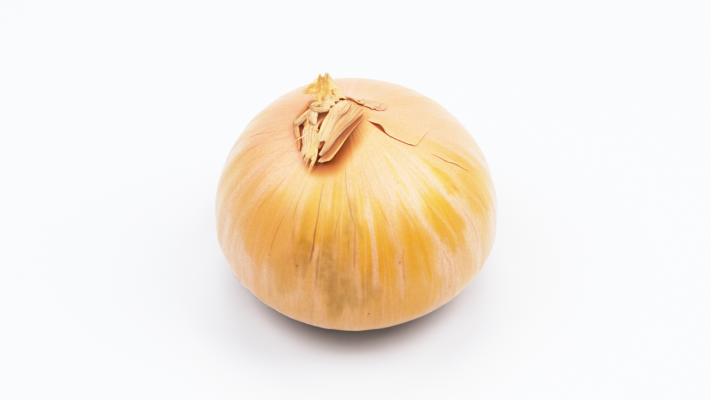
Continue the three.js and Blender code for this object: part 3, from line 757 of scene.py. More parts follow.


# sheaths: both edges from root to tip in millimetres. bow lifts the middle, ribs and rib are
# the count and height of its lengthwise ridges, fray and ragged tear its tip and its sides,
# sheer is the strength of a painted warm glow, as if light came through it. What a sheath
# doesn't give is as usual
sheathUsual = {
    "bow": 0.4, "ribs": 4, "rib": 0.2, "crumple": 0.15, "fray": 0.1, "ragged": 0.05, "under": "DC9448",
    "paintedGlow": 0.0,
}
sheaths = {
    "upperSheath": {
        "near": [(-4.7, -2.9, 73.2), (-7.6, -5.1, 72.2), (-8.5, -7.8, 70.1), (-10.1, -10.6, 67.9),
                 (-11.5, -13.2, 65.8)],
        "far": [(-1.2, -1.4, 72.0), (-2.6, -5.5, 71.9), (-5.0, -7.5, 70.7), (-6.5, -9.8, 68.9),
                (-8.4, -13.5, 66.3)],
        "bow": 0.8, "ribs": 9, "crumple": 0.1, "ragged": 0.03, "top": "DEB696",
    },
    "foldPanel": {
        "near": [(-2.6, -1.5, 71.5), (-4.5, -6.0, 71.1), (-6.6, -8.5, 69.6), (-8.0, -11.3, 67.7),
                 (-9.7, -14.3, 65.6), (-10.9, -16.1, 64.2)],
        "far": [(2.6, -1.6, 68.6), (0.3, -6.0, 69.3), (-2.3, -9.1, 68.8), (-5.2, -11.9, 67.6),
                (-7.7, -14.8, 65.7), (-10.3, -16.7, 63.9)],
        "bow": 0.5, "ribs": 8, "crumple": 0.1, "fray": 0.03, "ragged": 0.02, "top": "CFA078",
        "under": "DC9044",
    },
    # the trough's top runs from dark, painted shade under the fold panel, to light at its lip
    "openTrough": {
        "near": [(0.6, -2.5, 68.6), (-1.8, -6.5, 68.2), (-5.3, -9.8, 66.6), (-8.2, -13.4, 64.6),
                 (-11.5, -17.4, 62.4)],
        "far": [(2.7, -1.7, 67.8), (1.9, -4.7, 68.2), (-1.5, -9.7, 67.3), (-5.1, -15.2, 65.4),
                (-7.3, -17.8, 63.9)],
        "bow": -0.9, "ribs": 6, "rib": 0.12, "fray": 0.03, "ragged": 0.03, "top": "CC8444",
        "topFar": "E8B670", "under": "E4AE68",
    },
    "paperyBand": {
        "near": [(-12.9, -2.8, 66.2), (-15.6, -5.6, 64.6), (-16.1, -8.4, 63.7), (-15.9, -11.6, 62.6),
                 (-16.1, -14.6, 61.2)],
        "far": [(-9.5, -4.0, 68.0), (-11.1, -7.9, 67.5), (-11.3, -10.9, 65.8), (-11.8, -13.1, 64.3),
                (-13.9, -15.9, 61.7)],
        "bow": 0.5, "ribs": 6, "rib": 0.3, "crumple": 0.3, "fray": 0.15, "top": "D8B092",
        "under": "DA9C58",
    },
    "frayedStrip": {
        "near": [(-11.5, -9.0, 66.6), (-12.5, -11.4, 65.1), (-13.6, -13.9, 63.0), (-15.1, -17.7, 60.6)],
        "far": [(-9.9, -10.5, 66.6), (-10.9, -13.3, 64.8), (-11.4, -16.1, 63.0), (-13.0, -18.3, 60.9)],
        "bow": 0.35, "ribs": 6, "fray": 0.4, "top": "DDBC90", "under": "DDA460",
    },
    "sideStrip": {
        "near": [(-17.8, 1.6, 64.0), (-18.8, -0.6, 63.0), (-18.4, -4.5, 62.6), (-17.3, -8.1, 62.2)],
        "far": [(-15.5, 0.6, 65.6), (-16.8, -1.8, 64.5), (-16.6, -5.4, 63.7), (-16.1, -8.9, 62.6)],
        "bow": 0.3, "crumple": 0.25, "fray": 0.2, "ragged": 0.06, "top": "C89C6E", "under": "D08A48",
    },
    "tag": {
        "near": [(-17.5, -7.4, 62.9), (-17.3, -9.4, 62.3), (-17.0, -11.1, 61.6)],
        "far": [(-16.4, -7.6, 63.5), (-16.3, -9.6, 62.8), (-16.5, -11.4, 61.8)],
        "bow": 0.2, "ribs": 2, "rib": 0.08, "crumple": 0.05, "top": "D08A38", "under": "CC7424",
    },
    "rolledRim": {
        "near": [(-11.9, 3.0, 68.9), (-14.0, 3.8, 67.4), (-16.1, 1.6, 66.0), (-18.9, 0.0, 63.3)],
        "far": [(-11.9, 1.8, 68.5), (-13.6, 2.6, 67.1), (-15.5, 0.5, 65.6), (-18.1, -1.0, 63.0)],
        "bow": 0.6, "ribs": 3, "rib": 0.1, "crumple": 0.12, "fray": 0.05, "ragged": 0.03, "top": "C88840",
        "under": "C87A30",
    },
    "slantingRibbon": {
        "near": [(-11.0, 0.6, 69.4), (-13.6, 0.0, 68.0), (-15.9, -0.7, 66.3), (-18.5, -1.4, 63.6)],
        "far": [(-10.5, -2.0, 69.5), (-12.8, -2.4, 68.2), (-14.9, -3.2, 66.2), (-17.7, -3.6, 63.5)],
        "bow": 0.5, "rib": 0.25, "crumple": 0.2, "top": "D8B494", "under": "DC8C40",
    },
    "topCrumple": {
        "near": [(-7.2, -0.6, 71.4), (-9.7, -0.8, 71.5), (-12.1, 0.7, 69.8), (-13.8, 0.9, 68.0)],
        "far": [(-6.0, -3.0, 72.2), (-8.0, -3.6, 71.7), (-10.6, -2.8, 70.4), (-13.0, -1.6, 68.4)],
        "bow": 0.6, "rib": 0.4, "crumple": 0.8, "fray": 0.15, "ragged": 0.09, "top": "DEB892",
    },
    "crumpleFold": {
        "near": [(-7.4, -2.4, 72.2), (-9.7, -2.7, 71.2), (-11.8, -1.7, 69.9), (-13.3, -0.9, 68.4)],
        "far": [(-7.4, -4.4, 71.3), (-9.1, -4.8, 70.4), (-10.9, -3.9, 69.7), (-12.8, -2.4, 68.3)],
        "bow": 0.5, "rib": 0.3, "crumple": 0.7, "fray": 0.2, "ragged": 0.1, "top": "DCB48E",
        "under": "D28438",
    },
    "paleCup": {
        "near": [(-12.6, -1.6, 68.6), (-13.6, -2.7, 68.3), (-13.8, -4.0, 67.7), (-13.1, -5.7, 67.2),
                 (-11.8, -6.6, 67.1)],
        "far": [(-10.5, -2.6, 69.8), (-11.0, -3.8, 69.6), (-11.2, -5.0, 68.9), (-11.4, -5.9, 68.2),
                (-11.6, -6.6, 67.3)],
        "bow": 0.5, "ribs": 3, "rib": 0.1, "fray": 0.04, "ragged": 0.03, "top": "DAB898",
        "under": "DE9C58",
    },
    "bowlInner": {
        "near": [(-10.8, -1.6, 68.6), (-11.1, -2.6, 68.0), (-11.5, -4.3, 67.1), (-12.1, -5.8, 66.0)],
        "far": [(-7.0, -3.2, 70.4), (-8.0, -4.5, 69.6), (-9.0, -6.3, 68.4), (-10.3, -7.2, 66.9)],
        "bow": -0.5, "ribs": 6, "rib": 0.15, "crumple": 0.2, "fray": 0.05, "ragged": 0.04,
        "top": "E4B07A", "under": "DC8C44",
    },
    "bowlFloor": {
        "near": [(-11.5, 4.0, 67.2), (-14.1, 3.6, 65.9), (-15.8, 2.0, 64.6), (-16.8, -1.0, 63.6)],
        "far": [(-9.0, -0.5, 68.8), (-11.2, -1.6, 67.6), (-13.3, -3.5, 65.6), (-14.8, -5.3, 64.2)],
        "bow": -0.3, "ribs": 8, "crumple": 0.3, "fray": 0.08, "ragged": 0.06, "top": "D27E38",
        "under": "D27E38",
    },
    "yellowFold": {
        "near": [(-14.2, -5.4, 66.0), (-13.5, -6.2, 66.6), (-12.3, -7.2, 66.9), (-10.7, -8.5, 67.3)],
        "far": [(-14.4, -6.8, 65.0), (-13.7, -7.5, 65.6), (-12.3, -8.5, 66.1), (-10.8, -9.2, 66.6)],
        "ribs": 3, "rib": 0.15, "crumple": 0.2, "fray": 0.06, "top": "E8C688", "under": "DC9C50",
    },
    "spike": {
        "near": [(-11.5, 1.0, 70.0), (-11.5, 4.0, 71.6), (-11.4, 5.6, 74.5), (-10.8, 6.0, 76.9)],
        "far": [(-9.9, 0.5, 70.0), (-9.2, 3.5, 72.0), (-9.8, 5.4, 74.7), (-10.5, 6.0, 76.8)],
        "rib": 0.25, "crumple": 0.1, "top": "EEBE70", "under": "E6B86E",
    },
    "goldBody": {
        "near": [(-11.3, 3.4, 70.6), (-11.1, 4.6, 72.2), (-10.9, 5.3, 73.8), (-10.2, 5.7, 76.4)],
        "far": [(-6.9, 2.2, 71.2), (-7.5, 3.2, 72.6), (-8.0, 4.4, 74.4), (-8.9, 5.3, 76.6)],
        "ribs": 8, "rib": 0.22, "fray": 0.15, "top": "F0C274", "under": "E6B86E",
    },
    "veil": {
        "near": [(-9.4, 1.0, 69.0), (-9.2, 2.8, 70.6), (-9.4, 4.1, 73.0), (-9.5, 4.8, 75.4),
                 (-9.3, 4.9, 77.7)],
        "far": [(-3.0, 6.0, 66.6), (-3.8, 6.5, 68.2), (-5.4, 6.2, 71.3), (-7.1, 5.4, 75.1),
                (-8.0, 4.9, 77.8)],
        "bow": 0.3, "ribs": 11, "rib": 0.32, "crumple": 0.08, "fray": 0.2, "ragged": 0.03,
        "top": "FFEFCC", "under": "F8E2B8", "paintedGlow": 0.6,
    },
    "leftBundle": {
        "near": [(-10.2, 5.6, 76.0), (-11.5, 6.6, 74.4), (-13.2, 7.8, 71.4), (-14.8, 9.2, 68.4)],
        "far": [(-9.6, 4.2, 72.0), (-11.0, 5.2, 71.0), (-13.3, 6.6, 68.8), (-15.6, 8.2, 66.4)],
        "ribs": 10, "rib": 0.25, "crumple": 0.12, "fray": 0.5, "top": "FAE6BC", "under": "F4DAA4",
        "paintedGlow": 1.0,
    },
    "leftBundleLow": {
        "near": [(-9.6, 4.4, 73.6), (-10.6, 5.0, 73.2), (-12.8, 6.3, 70.8), (-14.8, 7.8, 68.2)],
        "far": [(-9.2, 3.4, 71.4), (-10.1, 3.8, 71.2), (-11.9, 4.8, 69.9), (-13.2, 5.4, 68.9)],
        "bow": 0.35, "ribs": 7, "rib": 0.25, "crumple": 0.12, "fray": 0.5, "ragged": 0.06,
        "top": "F8E0A2", "under": "F4D898", "paintedGlow": 1.0,
    },
    "goldDrop": {
        "near": [(-11.5, 3.6, 71.6), (-11.5, 2.4, 71.0), (-11.4, 1.0, 70.8), (-11.2, -0.6, 70.6)],
        "far": [(-10.0, 3.2, 72.0), (-10.1, 2.0, 71.5), (-10.0, 0.6, 71.2), (-10.1, -1.0, 71.0)],
        "bow": 0.3, "ribs": 3, "rib": 0.15, "crumple": 0.1, "fray": 0.2, "ragged": 0.06, "top": "E0B068",
        "under": "B9803A",
    },
    "platePale": {
        "near": [(-9.9, 3.2, 71.4), (-9.7, 1.8, 71.2), (-9.4, -0.2, 71.1), (-8.7, -2.6, 71.7)],
        "far": [(-7.6, 3.4, 71.1), (-7.0, 1.6, 71.3), (-6.8, -0.6, 71.6), (-7.2, -2.8, 72.1)],
        "ribs": 3, "rib": 0.12, "crumple": 0.25, "fray": 0.08, "top": "D2A682", "under": "B9803A",
    },
    "plateRight": {
        "near": [(-8.0, 3.8, 70.8), (-7.5, 2.0, 71.0), (-7.2, -0.4, 71.6), (-7.0, -2.6, 72.2)],
        "far": [(-5.0, 4.4, 69.2), (-4.8, 2.6, 70.0), (-4.9, 0.2, 71.4), (-5.2, -2.2, 72.7)],
        "bow": 0.3, "rib": 0.15, "crumple": 0.2, "fray": 0.06, "ragged": 0.04, "top": "D8AA84",
        "under": "B9803A",
    },
    "paleSliver": {
        "near": [(-13.2, 4.4, 69.6), (-12.7, 3.2, 69.5), (-12.2, 2.0, 69.1)],
        "far": [(-12.3, 4.4, 69.9), (-12.0, 3.0, 69.7), (-11.5, 1.8, 69.3)],
        "bow": 0.2, "ribs": 2, "rib": 0.1, "crumple": 0.1, "fray": 0.15, "ragged": 0.08, "top": "E6C8A0",
        "under": "B07434",
    },
    "collarBack": {
        "near": [(-5.6, 3.0, 69.8), (-3.6, 4.0, 69.4), (-1.6, 4.1, 69.1), (0.6, 2.0, 69.2),
                 (2.4, 1.6, 68.4)],
        "far": [(-5.2, 3.6, 68.0), (-3.4, 4.6, 67.9), (-1.4, 4.8, 67.7), (1.0, 2.8, 68.0),
                (3.0, 2.4, 67.2)],
        "bow": 0.2, "ribs": 10, "rib": 0.12, "crumple": 0.2, "ragged": 0.12, "top": "E2BA94",
        "under": "D67C34",
    },
    "rightFlake": {
        "near": [(0.5, 4.9, 67.3), (2.6, 6.1, 66.4), (5.2, 7.2, 65.1), (7.4, 7.7, 64.1),
                 (9.2, 7.5, 63.6)],
        "far": [(1.6, 2.2, 67.8), (4.0, 1.3, 66.9), (6.0, 1.4, 65.9), (7.8, 2.4, 64.9), (8.9, 3.9, 64.2)],
        "bow": 0.2, "ribs": 5, "rib": 0.16, "crumple": 0.3, "fray": 0.05, "ragged": 0.09, "top": "D6A88E",
        "under": "DC8C44",
    },
    "smallTag": {
        "near": [(0.8, 2.4, 68.0), (1.3, 3.2, 68.2), (2.2, 4.4, 68.4)],
        "far": [(2.6, 2.4, 67.7), (2.5, 3.3, 68.0), (2.5, 4.3, 68.3)],
        "bow": 0.15, "ribs": 2, "rib": 0.08, "crumple": 0.1, "top": "D8AC84",
    },
    "backSheath": {
        "near": [(-5.0, 2.5, 70.0), (-8.0, 4.5, 71.6), (-10.6, 7.2, 71.0), (-12.8, 9.4, 68.6)],
        "far": [(-2.4, 3.4, 67.6), (-4.2, 5.6, 69.6), (-6.8, 8.4, 69.8), (-9.8, 10.8, 67.9)],
        "bow": 0.6, "ribs": 8, "rib": 0.18, "crumple": 0.2, "fray": 0.25, "top": "E4BA96",
        "under": "B9803A",
    },
}
for spec in sheaths.values():
    for key, value in sheathUsual.items():
        spec.setdefault(key, value)

# the bundled leaf bases under the sheaths, as path points with radii
stalks = {
    "mainStalk": {
        "path": [(-3.0, -0.5, 63.5), (-3.2, -0.8, 66.8), (-4.3, -2.7, 68.5), (-6.3, -5.6, 68.8),
                 (-8.6, -8.5, 67.5), (-10.3, -11.3, 65.4), (-11.2, -13.2, 64.2)],
        "radii": [4.1, 3.9, 3.2, 2.4, 1.8, 1.3, 0.7],
        "colour": "EACAA2",
    },
    "leftStalk": {
        "path": [(-7.0, 0.5, 66.4), (-10.0, 0.0, 67.0), (-12.4, -2.0, 65.9), (-13.4, -5.2, 64.4),
                 (-13.7, -9.0, 63.0), (-13.8, -12.0, 61.8)],
        "radii": [3.3, 2.7, 2.3, 1.9, 1.5, 0.8],
        "colour": "DFAE74",
    },
}

# rowLength and columnWidth are the mesh's cells, clear is how near a sheath may come to the skin
sheathMake = {
    "rowLength": 0.32,
    "columnWidth": 0.11,
    "thickness": 0.24,
    "edgeThickness": 0.1,
    "clear": 0.12,
}

# the side of a sheath that counts as its top
topSide = np.array([0, -0.72, 0.69])


# slow waves with random starts, for crumples and ragged edges; u and v run from 0 to 1
def makeWaves(draw, count, low, high):
    parts = []
    for _ in range(count):
        parts.append((draw.uniform(low, high), draw.uniform(low, high), draw.uniform(0, fullTurn)))

    def waves(u, v):
        return sum(np.sin(a * u + b * v + start) for a, b, start in parts) / count

    return waves


def spanLength(points):
    return np.linalg.norm(np.diff(np.array(points), axis=0), axis=1).sum()


def sheathGrid(spec, draw):
    near, far = np.array(spec["near"]), np.array(spec["far"])
    along = unit(near[-1] + far[-1] - near[0] - far[0])
    facing = np.cross(along, far.mean(0) - near.mean(0))
    turned = facing @ topSide < 0
    if turned:
        near, far = far, near
    width = np.linalg.norm(near - far, axis=1).max()
    rows = int(np.clip(max(spanLength(near), spanLength(far)) / sheathMake["rowLength"], 12, 60))
    columns = int(np.clip(width / sheathMake["columnWidth"], 13, 64))
    s, t = np.meshgrid(np.linspace(0, 1, rows), np.linspace(0, 1, columns), indexing="ij")
    wander = makeWaves(draw, 3, 1, 4)
    phase = spec["ribs"] * t + 0.35 * wander(s, 0.0 * t)
    teeth = 40
    tooth = np.floor(phase[-1]).astype(int) % teeth
    depths = np.array([draw.random() for _ in range(teeth)])
    pointed = np.abs((phase[-1] % 1) * 2 - 1)
    torn = 1 - spec["fray"] * (0.55 * depths[tooth] + 0.45 * pointed)
    ragged = makeWaves(draw, 6, 6, 44)
    share = s * torn
    inset = spec["ragged"] * np.clip(share * 3, 0, 1)
    lower = inset * (1 + ragged(share, 0.0 * t))
    upper = inset * (1 + ragged(share, 0.7 + 0.0 * t))
    across = lower + (1 - lower - upper) * t
    nearSide = curveThrough(near, share)
    farSide = curveThrough(far, share)
    tangent = unit(np.gradient(nearSide, axis=0) + np.gradient(farSide, axis=0))
    out = unit(np.cross(tangent, farSide - nearSide))
    grid = nearSide + (farSide - nearSide) * across[..., None]
    grid = grid + out * (spec["bow"] * 4 * across * (1 - across))[..., None]
    ridge = np.abs(np.sin(math.pi * phase))
    folds = makeWaves(draw, 6, -16, 16)
    rise = spec["rib"] * (ridge - 0.5) + spec["crumple"] * folds(share, across)
    grown = np.clip(share * 4, 0, 1)
    return grid + out * (rise * grown)[..., None], share, across, ridge, turned


# faces between rows of points that each close round a body
def ringFaces(rows, columns, first=0):
    faces = []
    for i in range(rows - 1):
        for k in range(columns):
            a, b = first + i * columns + k, first + i * columns + (k + 1) % columns
            faces.append((a, a + columns, b + columns, b))
    return faces


# a round body along a path, closed at both ends, from a radius for each step and side
def tubeAlong(path, radii):
    steps, sides = radii.shape
    along = unit(np.gradient(path, axis=0))
    side = unit(np.cross(along, np.array([0.31, 0.17, 0.94])))
    front = np.cross(along, side)
    turn = np.linspace(0, 2 * math.pi, sides, endpoint=False)
    ring = np.cos(turn)[None, :, None] * side[:, None] + np.sin(turn)[None, :, None] * front[:, None]
    points = (path[:, None] + radii[..., None] * ring).reshape(-1, 3)
    faces = ringFaces(steps, sides)
    faces.append(tuple(range(sides)))
    faces.append(tuple(range(steps * sides - 1, (steps - 1) * sides - 1, -1)))
    return points, faces


# a tapered round strand along a curve
def strand(points, radius, sides=5, steps=9, tip=0.15):
    shares = np.linspace(0, 1, steps)
    radii = radius * (1 - (1 - tip) * shares ** 1.5)
    return tubeAlong(curveThrough(points, shares), np.repeat(radii[:, None], sides, axis=1))


# a ribbed stalk along a curve, with its share round and along for every point
def stalkTube(spec, steps=40, sides=48):
    shares = np.linspace(0, 1, steps)
    radii = np.interp(shares, np.linspace(0, 1, len(spec["radii"])), spec["radii"])
    turn = np.linspace(0, 2 * math.pi, sides, endpoint=False)
    ribbed = 1 + 0.05 * np.sin(7 * turn) + 0.05 * np.sin(11 * turn + 1.3) + 0.04 * np.sin(17 * turn)
    points, faces = tubeAlong(curveThrough(spec["path"], shares), radii[:, None] * ribbed)
    return points, faces, np.tile(turn / fullTurn, steps), np.repeat(shares, sides)


# loose fibres: which sheath they end, how many, from which share of it, and how long they are
looseFibres = {
    "spike": {"count": 8, "from": 0.5, "length": 1.0, "stray": 0.4, "colour": "ECB65A"},
    "veil": {"count": 44, "from": 0.1, "length": 1.4, "stray": 0.12, "colour": "ECC888"},
    "goldBody": {"count": 14, "from": 0.2, "length": 1.0, "stray": 0.4, "colour": "EFBE5E"},
    "leftBundle": {"count": 60, "from": 0.2, "length": 2.4, "stray": 0.2, "colour": "F9E2B4"},
    "leftBundleLow": {"count": 40, "from": 0.2, "length": 2.0, "stray": 0.3, "colour": "F6DA96"},
    "frayedStrip": {"count": 18, "from": 0.4, "length": 1.8, "stray": 0.35, "colour": "EFCB88"},
    "paperyBand": {"count": 14, "from": 0.6, "length": 1.4, "stray": 0.35, "colour": "ECD0A8"},
    "topCrumple": {"count": 8, "from": 0.5, "length": 1.2, "stray": 0.7, "colour": "EFD3A0"},
    "sideStrip": {"count": 6, "from": 0.6, "length": 1.6, "stray": 0.7, "colour": "E0B878"},
    "backSheath": {"count": 14, "from": 0.6, "length": 1.8, "stray": 0.5, "colour": "E5C088"},
}

# how far fibres lie above their sheath, their radii, and the strength of their painted warm glow
fibreMake = {
    "above": 0.12,
    "radii": (0.06, 0.13),
    "paintedGlow": 0.4,
}

# single strands, each given as path in millimetres, radius and colour
singleStrands = [
    ([(-13.2, -8.0, 66.6), (-15.0, -8.6, 65.2), (-16.6, -8.6, 63.9), (-18.0, -8.4, 62.6)], 0.24, "F8E4B4"),
    ([(-10.6, 4.0, 71.8), (-11.6, 4.2, 70.9), (-12.3, 4.4, 70.0), (-12.9, 4.6, 69.2)], 0.16, "F0C060"),
    ([(-10.2, 3.9, 71.8), (-10.9, 3.8, 71.0), (-11.4, 3.8, 70.4)], 0.15, "F4D08A"),
    ([(-9.7, 3.8, 71.9), (-10.2, 3.5, 71.2), (-10.7, 3.4, 70.6)], 0.15, "F2C66C"),
    ([(-9.2, 3.7, 72.0), (-9.7, 3.4, 71.3), (-9.9, 3.2, 70.8)], 0.15, "F6D79A"),
    ([(-8.6, 3.6, 72.2), (-8.8, 3.2, 71.6), (-8.7, 2.9, 71.0)], 0.15, "F2C66C"),
    ([(-8.2, 3.4, 72.4), (-7.4, 3.2, 71.9), (-6.6, 3.2, 71.2), (-5.8, 3.4, 70.4)], 0.17, "EFBE5E"),
]


# what shades the pieces round the neck: within radius of middle in plan and higher than above.
# reach is how far off a form still shades each piece, start is how far above the surface the
# rays begin, and down is the value of what looks down and sees less of the sky than leastSky
closeMake = {
    "middle": (-5, -4),
    "radius": 22,
    "above": 55,
    "rays": 24,
    "down": 0.4,
    "start": 0.06,
    "leastSky": 1.0,
    "reach": {
        "bulb_skin": 9.0,
        "neck_sheaths": 6.0,
        "neck_fibres": 4.0,
        "split_flap": 1.5,
        "fine_split_flap": 1.5,
    },
}


# how shut in points are: the share of the sky before them that something near hides
def closeness(tree, points, normals, reach):
    golden = math.pi * (3 - math.sqrt(5))
    count = closeMake["rays"]
    rays = []
    for i in range(count):
        rise = math.sqrt(1 - (i + 0.5) / count * 0.97)
        flat = math.sqrt(1 - rise ** 2)
        rays.append(Vector((flat * math.cos(golden * i), flat * math.sin(golden * i), rise)))
    values = np.full(len(points), closeMake["down"])
    for i, (point, normal) in enumerate(zip(points, normals)):
        normal = Vector(normal)
        start = Vector(point) + closeMake["start"] * normal
        sky = hidden = 0.0
        for ray in rays:
            facing = ray.dot(normal)
            if facing > 0.05:
                sky += facing
                if tree.ray_cast(start, ray, reach)[0] is not None:
                    hidden += facing
        if sky > closeMake["leastSky"]:
            values[i] = hidden / sky
    return values


def vertexNormals(piece):
    normals = np.empty(len(piece.data.vertices) * 3, np.float32)
    piece.data.vertices.foreach_get("normal", normals)
    return normals.reshape(-1, 3)


def joinParts(parts):
    points, faces, count = [], [], 0
    for more, moreFaces in parts:
        faces += [tuple(i + count for i in face) for face in moreFaces]
        points.append(more)
        count += len(more)
    return np.vstack(points), faces


# per point: tint, grain, the share of the painted edge highlight and the strength of the painted glow
def addSheathValues(piece, colours, grain, edge, paintedGlow):
    addValues(piece, "sheathTint", np.vstack(colours), "FLOAT_COLOR", "color")
    addValues(piece, "sheathGrain", np.vstack(grain), "FLOAT_VECTOR", "vector")
    addValues(piece, "edge", edge)
    addValues(piece, "paintedGlow", paintedGlow)


# keep points of a sheath off the skin, apart from where the sheath comes out of the neck
def liftClear(points, skinTree, free, least):
    floor = skinHeights(skinTree, points[..., 0], points[..., 1]) + least
    lifted = np.maximum(points[..., 2], floor)
    points[..., 2] = points[..., 2] * (1 - free) + lifted * free
    return points


def makeNeck(material, skinTree):
    draw = random.Random(5)
    parts, colours, grain, edges, paintedGlow = [], [], [], [], []
    for order, spec in enumerate(sheaths.values()):
        grid, share, across, ridge, turned = sheathGrid(spec, draw)
        grid = liftClear(grid, skinTree, np.clip(share * 5 - 0.5, 0, 1), sheathMake["clear"] + 0.1)
        edge = np.minimum(np.minimum(across, 1 - across) * 8, (1 - share) * 8)
        edge = np.clip(edge, 0, 1)
        thick, thin = sheathMake["thickness"], sheathMake["edgeThickness"]
        parts.append(sheetFrom(grid, 0.5 * (thin + (thick - thin) * edge)))
        for side in ("top", "under"):
            first, last = np.array(tint(spec[side])), np.array(tint(spec.get(side + "Far", spec[side])))
            blend = (1 - across if turned else across).ravel()[:, None]
            shade = first * (1 - blend) + last * blend
            # darker in the grooves between ribs: the dry leaf's own orange-brown there and painted shade in
            # them
            grooveShade = 0.55 + 0.45 * np.clip(ridge * 2.4, 0, 1).ravel()[:, None]
            shade[:, :3] = shade[:, :3] * np.hstack([grooveShade ** 0.5, grooveShade, grooveShade ** 1.4])
            colours.append(shade)
            shares = np.stack([across * 0.01 * spec["ribs"], share * 0.01, 0 * share + 0.1 * order], -1)
            grain.append(shares.reshape(-1, 3))
            # how near a sheath's border a point lies, for its painted edge highlight
            edges.append(1 - np.clip(edge * 1.6, 0, 1).ravel())
            paintedGlow.append(np.full(share.size, spec["paintedGlow"]))
    for order, spec in enumerate(stalks.values()):
        more, moreFaces, around, along = stalkTube(spec)
        parts.append((more, moreFaces))
        colours.append(np.tile(tint(spec["colour"]), (len(more), 1)))
        grain.append(np.stack([around * 0.12, along * 0.012, 0 * along + 7 + order], -1))
        edges.append(np.zeros(len(more)))
        paintedGlow.append(np.zeros(len(more)))
    points, faces = joinParts(parts)
    piece = makePiece("neck_sheaths", points, faces, material, sharp=70)
    addSheathValues(piece, colours, grain, np.concatenate(edges), np.concatenate(paintedGlow))
    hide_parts("neck")
    return piece, (points, faces), parts[list(sheaths).index("openTrough")]


def makeFibres(material, skinTree):
    draw = random.Random(23)
    parts, colours, grain = [], [], []
    for name, spec in looseFibres.items():
        sheath = sheaths[name]
        for _ in range(spec["count"]):
            across = draw.random()
            start = spec["from"] + (0.95 - spec["from"]) * draw.random()
            shares = np.array([start - 0.2, start, min(1.0, start + 0.15)])
            near = curveThrough(sheath["near"], shares)
            far = curveThrough(sheath["far"], shares)
            line = near + (far - near) * across
            ahead = unit(line[2] - line[0])
            out = unit(np.cross(ahead, far[1] - near[1]))
            out = out * np.sign(out @ topSide)
            line = line + out * (sheath["bow"] * 4 * across * (1 - across) + fibreMake["above"])
            stray = np.array([draw.uniform(-1, 1) for _ in range(3)]) * spec["stray"]
            reach = spec["length"] * draw.uniform(0.4, 1.0)
            tip = line[2] + reach * unit(ahead + 0.5 * stray)
            middle = (line[2] + tip) / 2 + 0.15 * reach * stray
            more, moreFaces = strand([*line, middle, tip], draw.uniform(*fibreMake["radii"]))
            more = liftClear(more, skinTree, 1.0, sheathMake["clear"])
            parts.append((more, moreFaces))
            shade = np.array(tint(spec["colour"])) * np.array([draw.uniform(0.8, 1.05)] * 3 + [1])
            colours.append(np.tile(shade, (len(more), 1)))
            grain.append(np.tile([across * 0.3, start * 0.01, draw.random()], (len(more), 1)))
    strandDraw = random.Random(29)
    for path, radius, colour in singleStrands:
        more, moreFaces = strand(path, radius, steps=12, tip=0.3)
        parts.append((more, moreFaces))
        colours.append(np.tile(tint(colour), (len(more), 1)))
        grain.append(np.tile([strandDraw.random(), 0.005, strandDraw.random()], (len(more), 1)))
    points, faces = joinParts(parts)
    piece = makePiece("neck_fibres", points, faces, material)
    paintedGlow = np.full(len(points), fibreMake["paintedGlow"])
    addSheathValues(piece, colours, grain, np.zeros(len(points)), paintedGlow)
    return piece, (points, faces)


# which points lie within the radius of the middle in plan and high enough
def roundNeck(points, make):
    x, y = make["middle"]
    inPlan = np.hypot(points[:, 0] - x, points[:, 1] - y) < make["radius"]
    return np.flatnonzero(inPlan & (points[:, 2] > make["above"]))


# shading by what stands close, on every piece round the neck
def addCloseness(pieces, solids):
    points, faces = joinParts(solids)
    tree = BVHTree.FromPolygons(points.tolist(), faces)
    for piece, (own, _) in pieces:
        normals = vertexNormals(piece)
        values = np.zeros(len(own))
        near = roundNeck(own, closeMake)
        values[near] = closeness(tree, own[near], normals[near], closeMake["reach"][piece.name])
        addValues(piece, "closeness", values)


# thin upright sheaths scatter the light from above, as if they faced it more
def upwardNormal(tree, lift):
    up = tree.nodes.new("ShaderNodeVectorTransform")
    up.vector_type = "NORMAL"
    up.convert_from = "OBJECT"
    up.convert_to = "WORLD"
    up.inputs[0].default_value = (0.0, 0.0, 1.0)
    facing = tree.nodes.new("ShaderNodeNewGeometry").outputs["Normal"]
    rise = tree.nodes.new("ShaderNodeVectorMath")
    rise.operation = "DOT_PRODUCT"
    feed(tree, rise.inputs[0], facing)
    feed(tree, rise.inputs[1], up.outputs[0])
    tilted = tree.nodes.new("ShaderNodeVectorMath")
    tilted.operation = "MULTIPLY_ADD"
    feed(tree, tilted.inputs[0], up.outputs[0])
    share = addRamp(tree, rise.outputs["Value"], -0.75, 0.05, 0.0, lift)
    feed(tree, tilted.inputs[1], addVector(tree, share, share, share))
    feed(tree, tilted.inputs[2], facing)
    made = tree.nodes.new("ShaderNodeVectorMath")
    made.operation = "NORMALIZE"
    feed(tree, made.inputs[0], tilted.outputs[0])
    return made.outputs[0]


# painted shadow under the trough: how far from it the shadow reaches, and the depth over which it grows
# towards the front
paintedShadowMake = {
    "middle": (-5, -8),
    "radius": 20,
    "above": 50,
    "reach": 6.0,
    "start": -2,
    "depth": 9,
}


# painted shadow that the trough casts on the skin: 1 beside it, 0 at reach, stronger towards the front
def addPaintedShadow(piece, points, trough):
    g = paintedShadowMake
    tree = BVHTree.FromPolygons(trough[0].tolist(), trough[1])
    values = np.zeros(len(points))
    for i in roundNeck(points, g):
        distance = tree.find_nearest(Vector(points[i]), g["reach"])[3]
        if distance is not None:
            forward = np.clip((g["start"] - points[i, 1]) / g["depth"], 0.2, 1)
            values[i] = (1 - distance / g["reach"]) * forward
    addValues(piece, "paintedShadowMask", values)


sheathColours = {
    "paleStreak": tint("ECD2B6"),
    "brownStreak": tint("BC8E64"),
    "blotch": tint("DAAC7C"),
    "line": tint("A87040"),
    "speck": tint("7E4A20"),
    "shade": tint("F4CC9C"),
    # edge: painted highlight along the thin sheath edges
    "edge": tint("F0D8B8"),
    # painted glow colours: red-brown in the gaps, warm on thin free sheaths
    "paintedGapGlow": tint("8A4C18"),
    "paintedBackGlow": tint("F0BC7C"),
}


